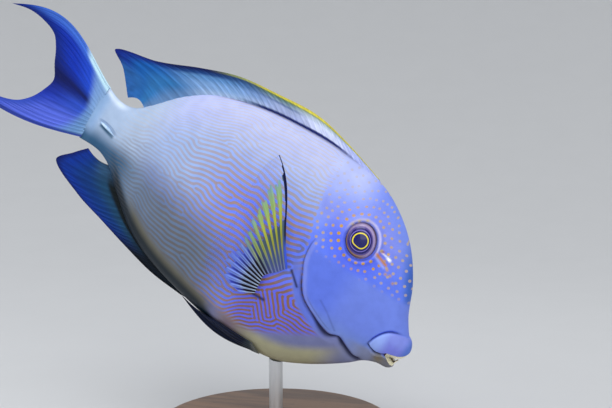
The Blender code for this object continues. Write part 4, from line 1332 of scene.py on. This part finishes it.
def make_teeth(name, edge, arch, root, count, half_arc, lengths, curl):
    """A comb of slim curved teeth round the front of a jaw.

    root is how far above the jaw's edge they start, lengths are those of the front and of the
    side teeth, negative ones point down, and curl is how far back the tips bend.
    """
    rng = np.random.default_rng(5)
    angle = np.radians(np.linspace(-half_arc, half_arc, count))[:, None, None]
    t = (np.arange(TOOTH_RINGS + 1) / TOOTH_RINGS)[:, None]
    turn = 2 * math.pi * np.arange(TOOTH_SIDES) / TOOTH_SIDES
    s = arch[0] + arch[1] * (1 - np.cos(angle))
    length = mix(lengths[1], lengths[0], smooth(0.89, 0.97, np.cos(angle)))
    length = length * (0.95 + 0.1 * rng.random(angle.shape))
    size = np.where(t < 1, TOOTH_SIZE * (1 - 0.45 * t), TOOTH_TIP)
    back = s + curl * np.cos(angle) * t * t + 0.8 * size * np.sin(turn)
    wide = arch[2] * np.sin(angle) * (1 - 0.06 * t) + size * np.cos(turn)
    points = to_world(back, edge(s) + root + length * t, wide)
    index = np.arange(wide.size).reshape(wide.shape)
    index = np.concatenate([index, index[..., :1]], axis=-1)
    teeth = link_mesh(name, points, np.concatenate([quads(tooth, False) for tooth in index]))
    shader = Shader(name + "_enamel", 0.3, Coat_Weight=0.4, Coat_Roughness=0.1)
    grain = shader.step(shader.noise(1800.0), 0.3, 0.7)
    ivory = shader.blend(grain, srgb(254, 250, 224), srgb(240, 230, 184))
    teeth.data.materials.append(shader.finish(ivory))
    dress(teeth, "spine")


def make_spine(side):
    """The folded spine: a lancet whose point lies forward in its groove."""
    name = sided("tail_spine", side)
    here, level, upright, out = flank_frame(*SPINE_AT, side, SPINE_LEAN)
    long_, tall, thick = SPINE_HALF
    t, turn = np.meshgrid(np.linspace(-1, 1, 60), np.linspace(0, 2 * math.pi, 33), indexing="ij")
    taper = np.where(t > 0, (1 - t) ** 0.75, np.sqrt(np.clip(1 - t ** 2, 0, 1)))
    x = long_ * t
    y = 0.66 * tall * taper * np.cos(turn) - 0.25 * t * t
    z = thick * taper * np.sin(turn) - 0.05
    points = here + (x[..., None] * level + y[..., None] * upright + z[..., None] * out) * MM
    flip = np.cross(level, upright) @ out > 0
    spine = link_mesh(name + "_lancet", points, quads(closed_index(x.shape), not flip))
    drop_loose(spine)
    shader = Shader("spine_horn", 0.28, Coat_Weight=0.5, Coat_Roughness=0.1)
    grain = shader.step(shader.noise(500.0), 0.3, 0.7)
    horn = shader.blend(grain, srgb(196, 222, 246), srgb(140, 176, 214))
    spine.data.materials.append(shader.finish(horn))
    dress(spine, "spine", name)


def wood_material():
    """Dark oiled hardwood, its grain along the frame's x."""
    wood = Shader("oiled_hardwood", 0.36, Coat_Weight=0.25, Coat_Roughness=0.2)
    across_grain = (1.0, 9.0, 9.0)
    rings = wood.noise(18.0, 4.0, across_grain, 0.6)
    pores = wood.noise(160.0, 3.0, across_grain)
    tone = wood.blend(wood.step(rings, 0.35, 0.65), (0.10, 0.048, 0.022), (0.23, 0.12, 0.058))
    tone = wood.blend(wood.multiply(wood.step(pores, 0.62, 0.72), 0.7), tone, (0.03, 0.015, 0.008))
    return wood.finish(tone, wood.bump(pores, 0.0002, 0.25))


def steel_material():
    """Steel brushed along the upright rod."""
    steel = Shader("brushed_steel", 0.3, Metallic=1.0, Anisotropic=0.5)
    brush = steel.noise(5200.0, 2.0, (1.0, 1.0, 0.03))
    tone = steel.blend(brush, (0.52, 0.53, 0.55), (0.70, 0.71, 0.72))
    return steel.finish(tone, steel.bump(brush, 0.00003, 0.4), steel.step(brush, -1.0, 2.2))


def finish_stand():
    """Better materials on the frame's own base and rod."""
    for node, material in (("stand_base", wood_material()), ("stand_rod", steel_material())):
        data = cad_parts[node].data
        data.materials.clear()
        data.materials.append(material)


def place_looking(name, data, at, back):
    """Links a camera or a light at a place, looking against the direction back."""
    obj = bpy.data.objects.new(name, data)
    obj.location = at
    obj.rotation_euler = (-back).to_track_quat("-Z", "Y").to_euler()
    bpy.context.scene.collection.objects.link(obj)
    return obj


def make_camera():
    azimuth, elevation, distance = math.radians(15.0), math.radians(7.0), 0.428
    aim = Vector(to_world(60.8, 25.1, 0.0))
    level = math.cos(elevation)
    back = Vector((math.sin(azimuth) * level, -math.cos(azimuth) * level, math.sin(elevation)))
    data = bpy.data.cameras.new("camera")
    data.lens = 70.0
    data.sensor_width = 36.0
    data.clip_start = 0.01
    bpy.context.scene.camera = place_looking("camera", data, aim + back * distance, back)


def make_light(name, size, energy, at, colour):
    data = bpy.data.lights.new(name, "AREA")
    data.size = size
    data.energy = energy
    data.color = colour
    place_looking(name, data, at, Vector(at) - Vector(LIGHT_AIM))


def make_floor():
    """A round pale floor that bends up into a wall."""
    sweep, turn = np.meshgrid(np.linspace(0.0, 1.0, 40), np.linspace(0, 2 * math.pi, 97), indexing="ij")
    tilt = np.maximum(sweep - FLOOR_SHARE, 0.0) / (1 - FLOOR_SHARE) * WALL_TURN
    flat = np.maximum(np.minimum(sweep / FLOOR_SHARE, 1.0) * FLOOR_RADIUS, 0.001)
    radius = flat + WALL_BEND * np.sin(tilt)
    height = WALL_BEND * (1 - np.cos(tilt))
    points = np.stack([radius * np.cos(turn), radius * np.sin(turn), height], axis=-1)
    floor = link_mesh("floor", points, quads(closed_index(radius.shape), True))
    drop_loose(floor)
    shader = Shader("floor_paper", 0.9)
    tint = shader.blend(shader.noise(30.0, 2.0), (0.60, 0.61, 0.62), (0.62, 0.63, 0.64))
    floor.data.materials.append(shader.finish(tint))


def make_studio():
    bpy.context.scene.view_settings.view_transform = "Standard"
    world = bpy.data.worlds.new("studio")
    bpy.context.scene.world = world
    world.use_nodes = True
    background = world.node_tree.nodes["Background"]
    background.inputs["Color"].default_value = (0.86, 0.88, 0.92, 1.0)
    background.inputs["Strength"].default_value = 0.42
    for light in LIGHTS:
        make_light(*light)
    make_floor()


make_camera()
make_studio()
make_skin()
make_middle_fin("dorsal_fin", DORSAL_BASE, DORSAL_TIPS, BACK, outward=1, bulge=1.6,
                build=DORSAL_BUILD, paint=paint_dorsal)
make_middle_fin("anal_fin", ANAL_BASE, ANAL_TIPS, LOWER, outward=-1, bulge=1.2,
                build=ANAL_BUILD, paint=paint_anal)
make_caudal()
for flank_side in (1, -1):
    make_pectoral(flank_side)
    make_pelvic(flank_side)
    make_eye(flank_side)
    make_spine(flank_side)
make_teeth("upper_teeth", LIP_EDGE, UPPER_ARCH, root=0.5, count=56, half_arc=82.0,
           lengths=(-1.5, -1.8), curl=0.0)
make_teeth("lower_teeth", JAW_EDGE, LOWER_ARCH, root=-0.4, count=40, half_arc=80.0,
           lengths=(3.1, 1.5), curl=-0.8)
finish_stand()
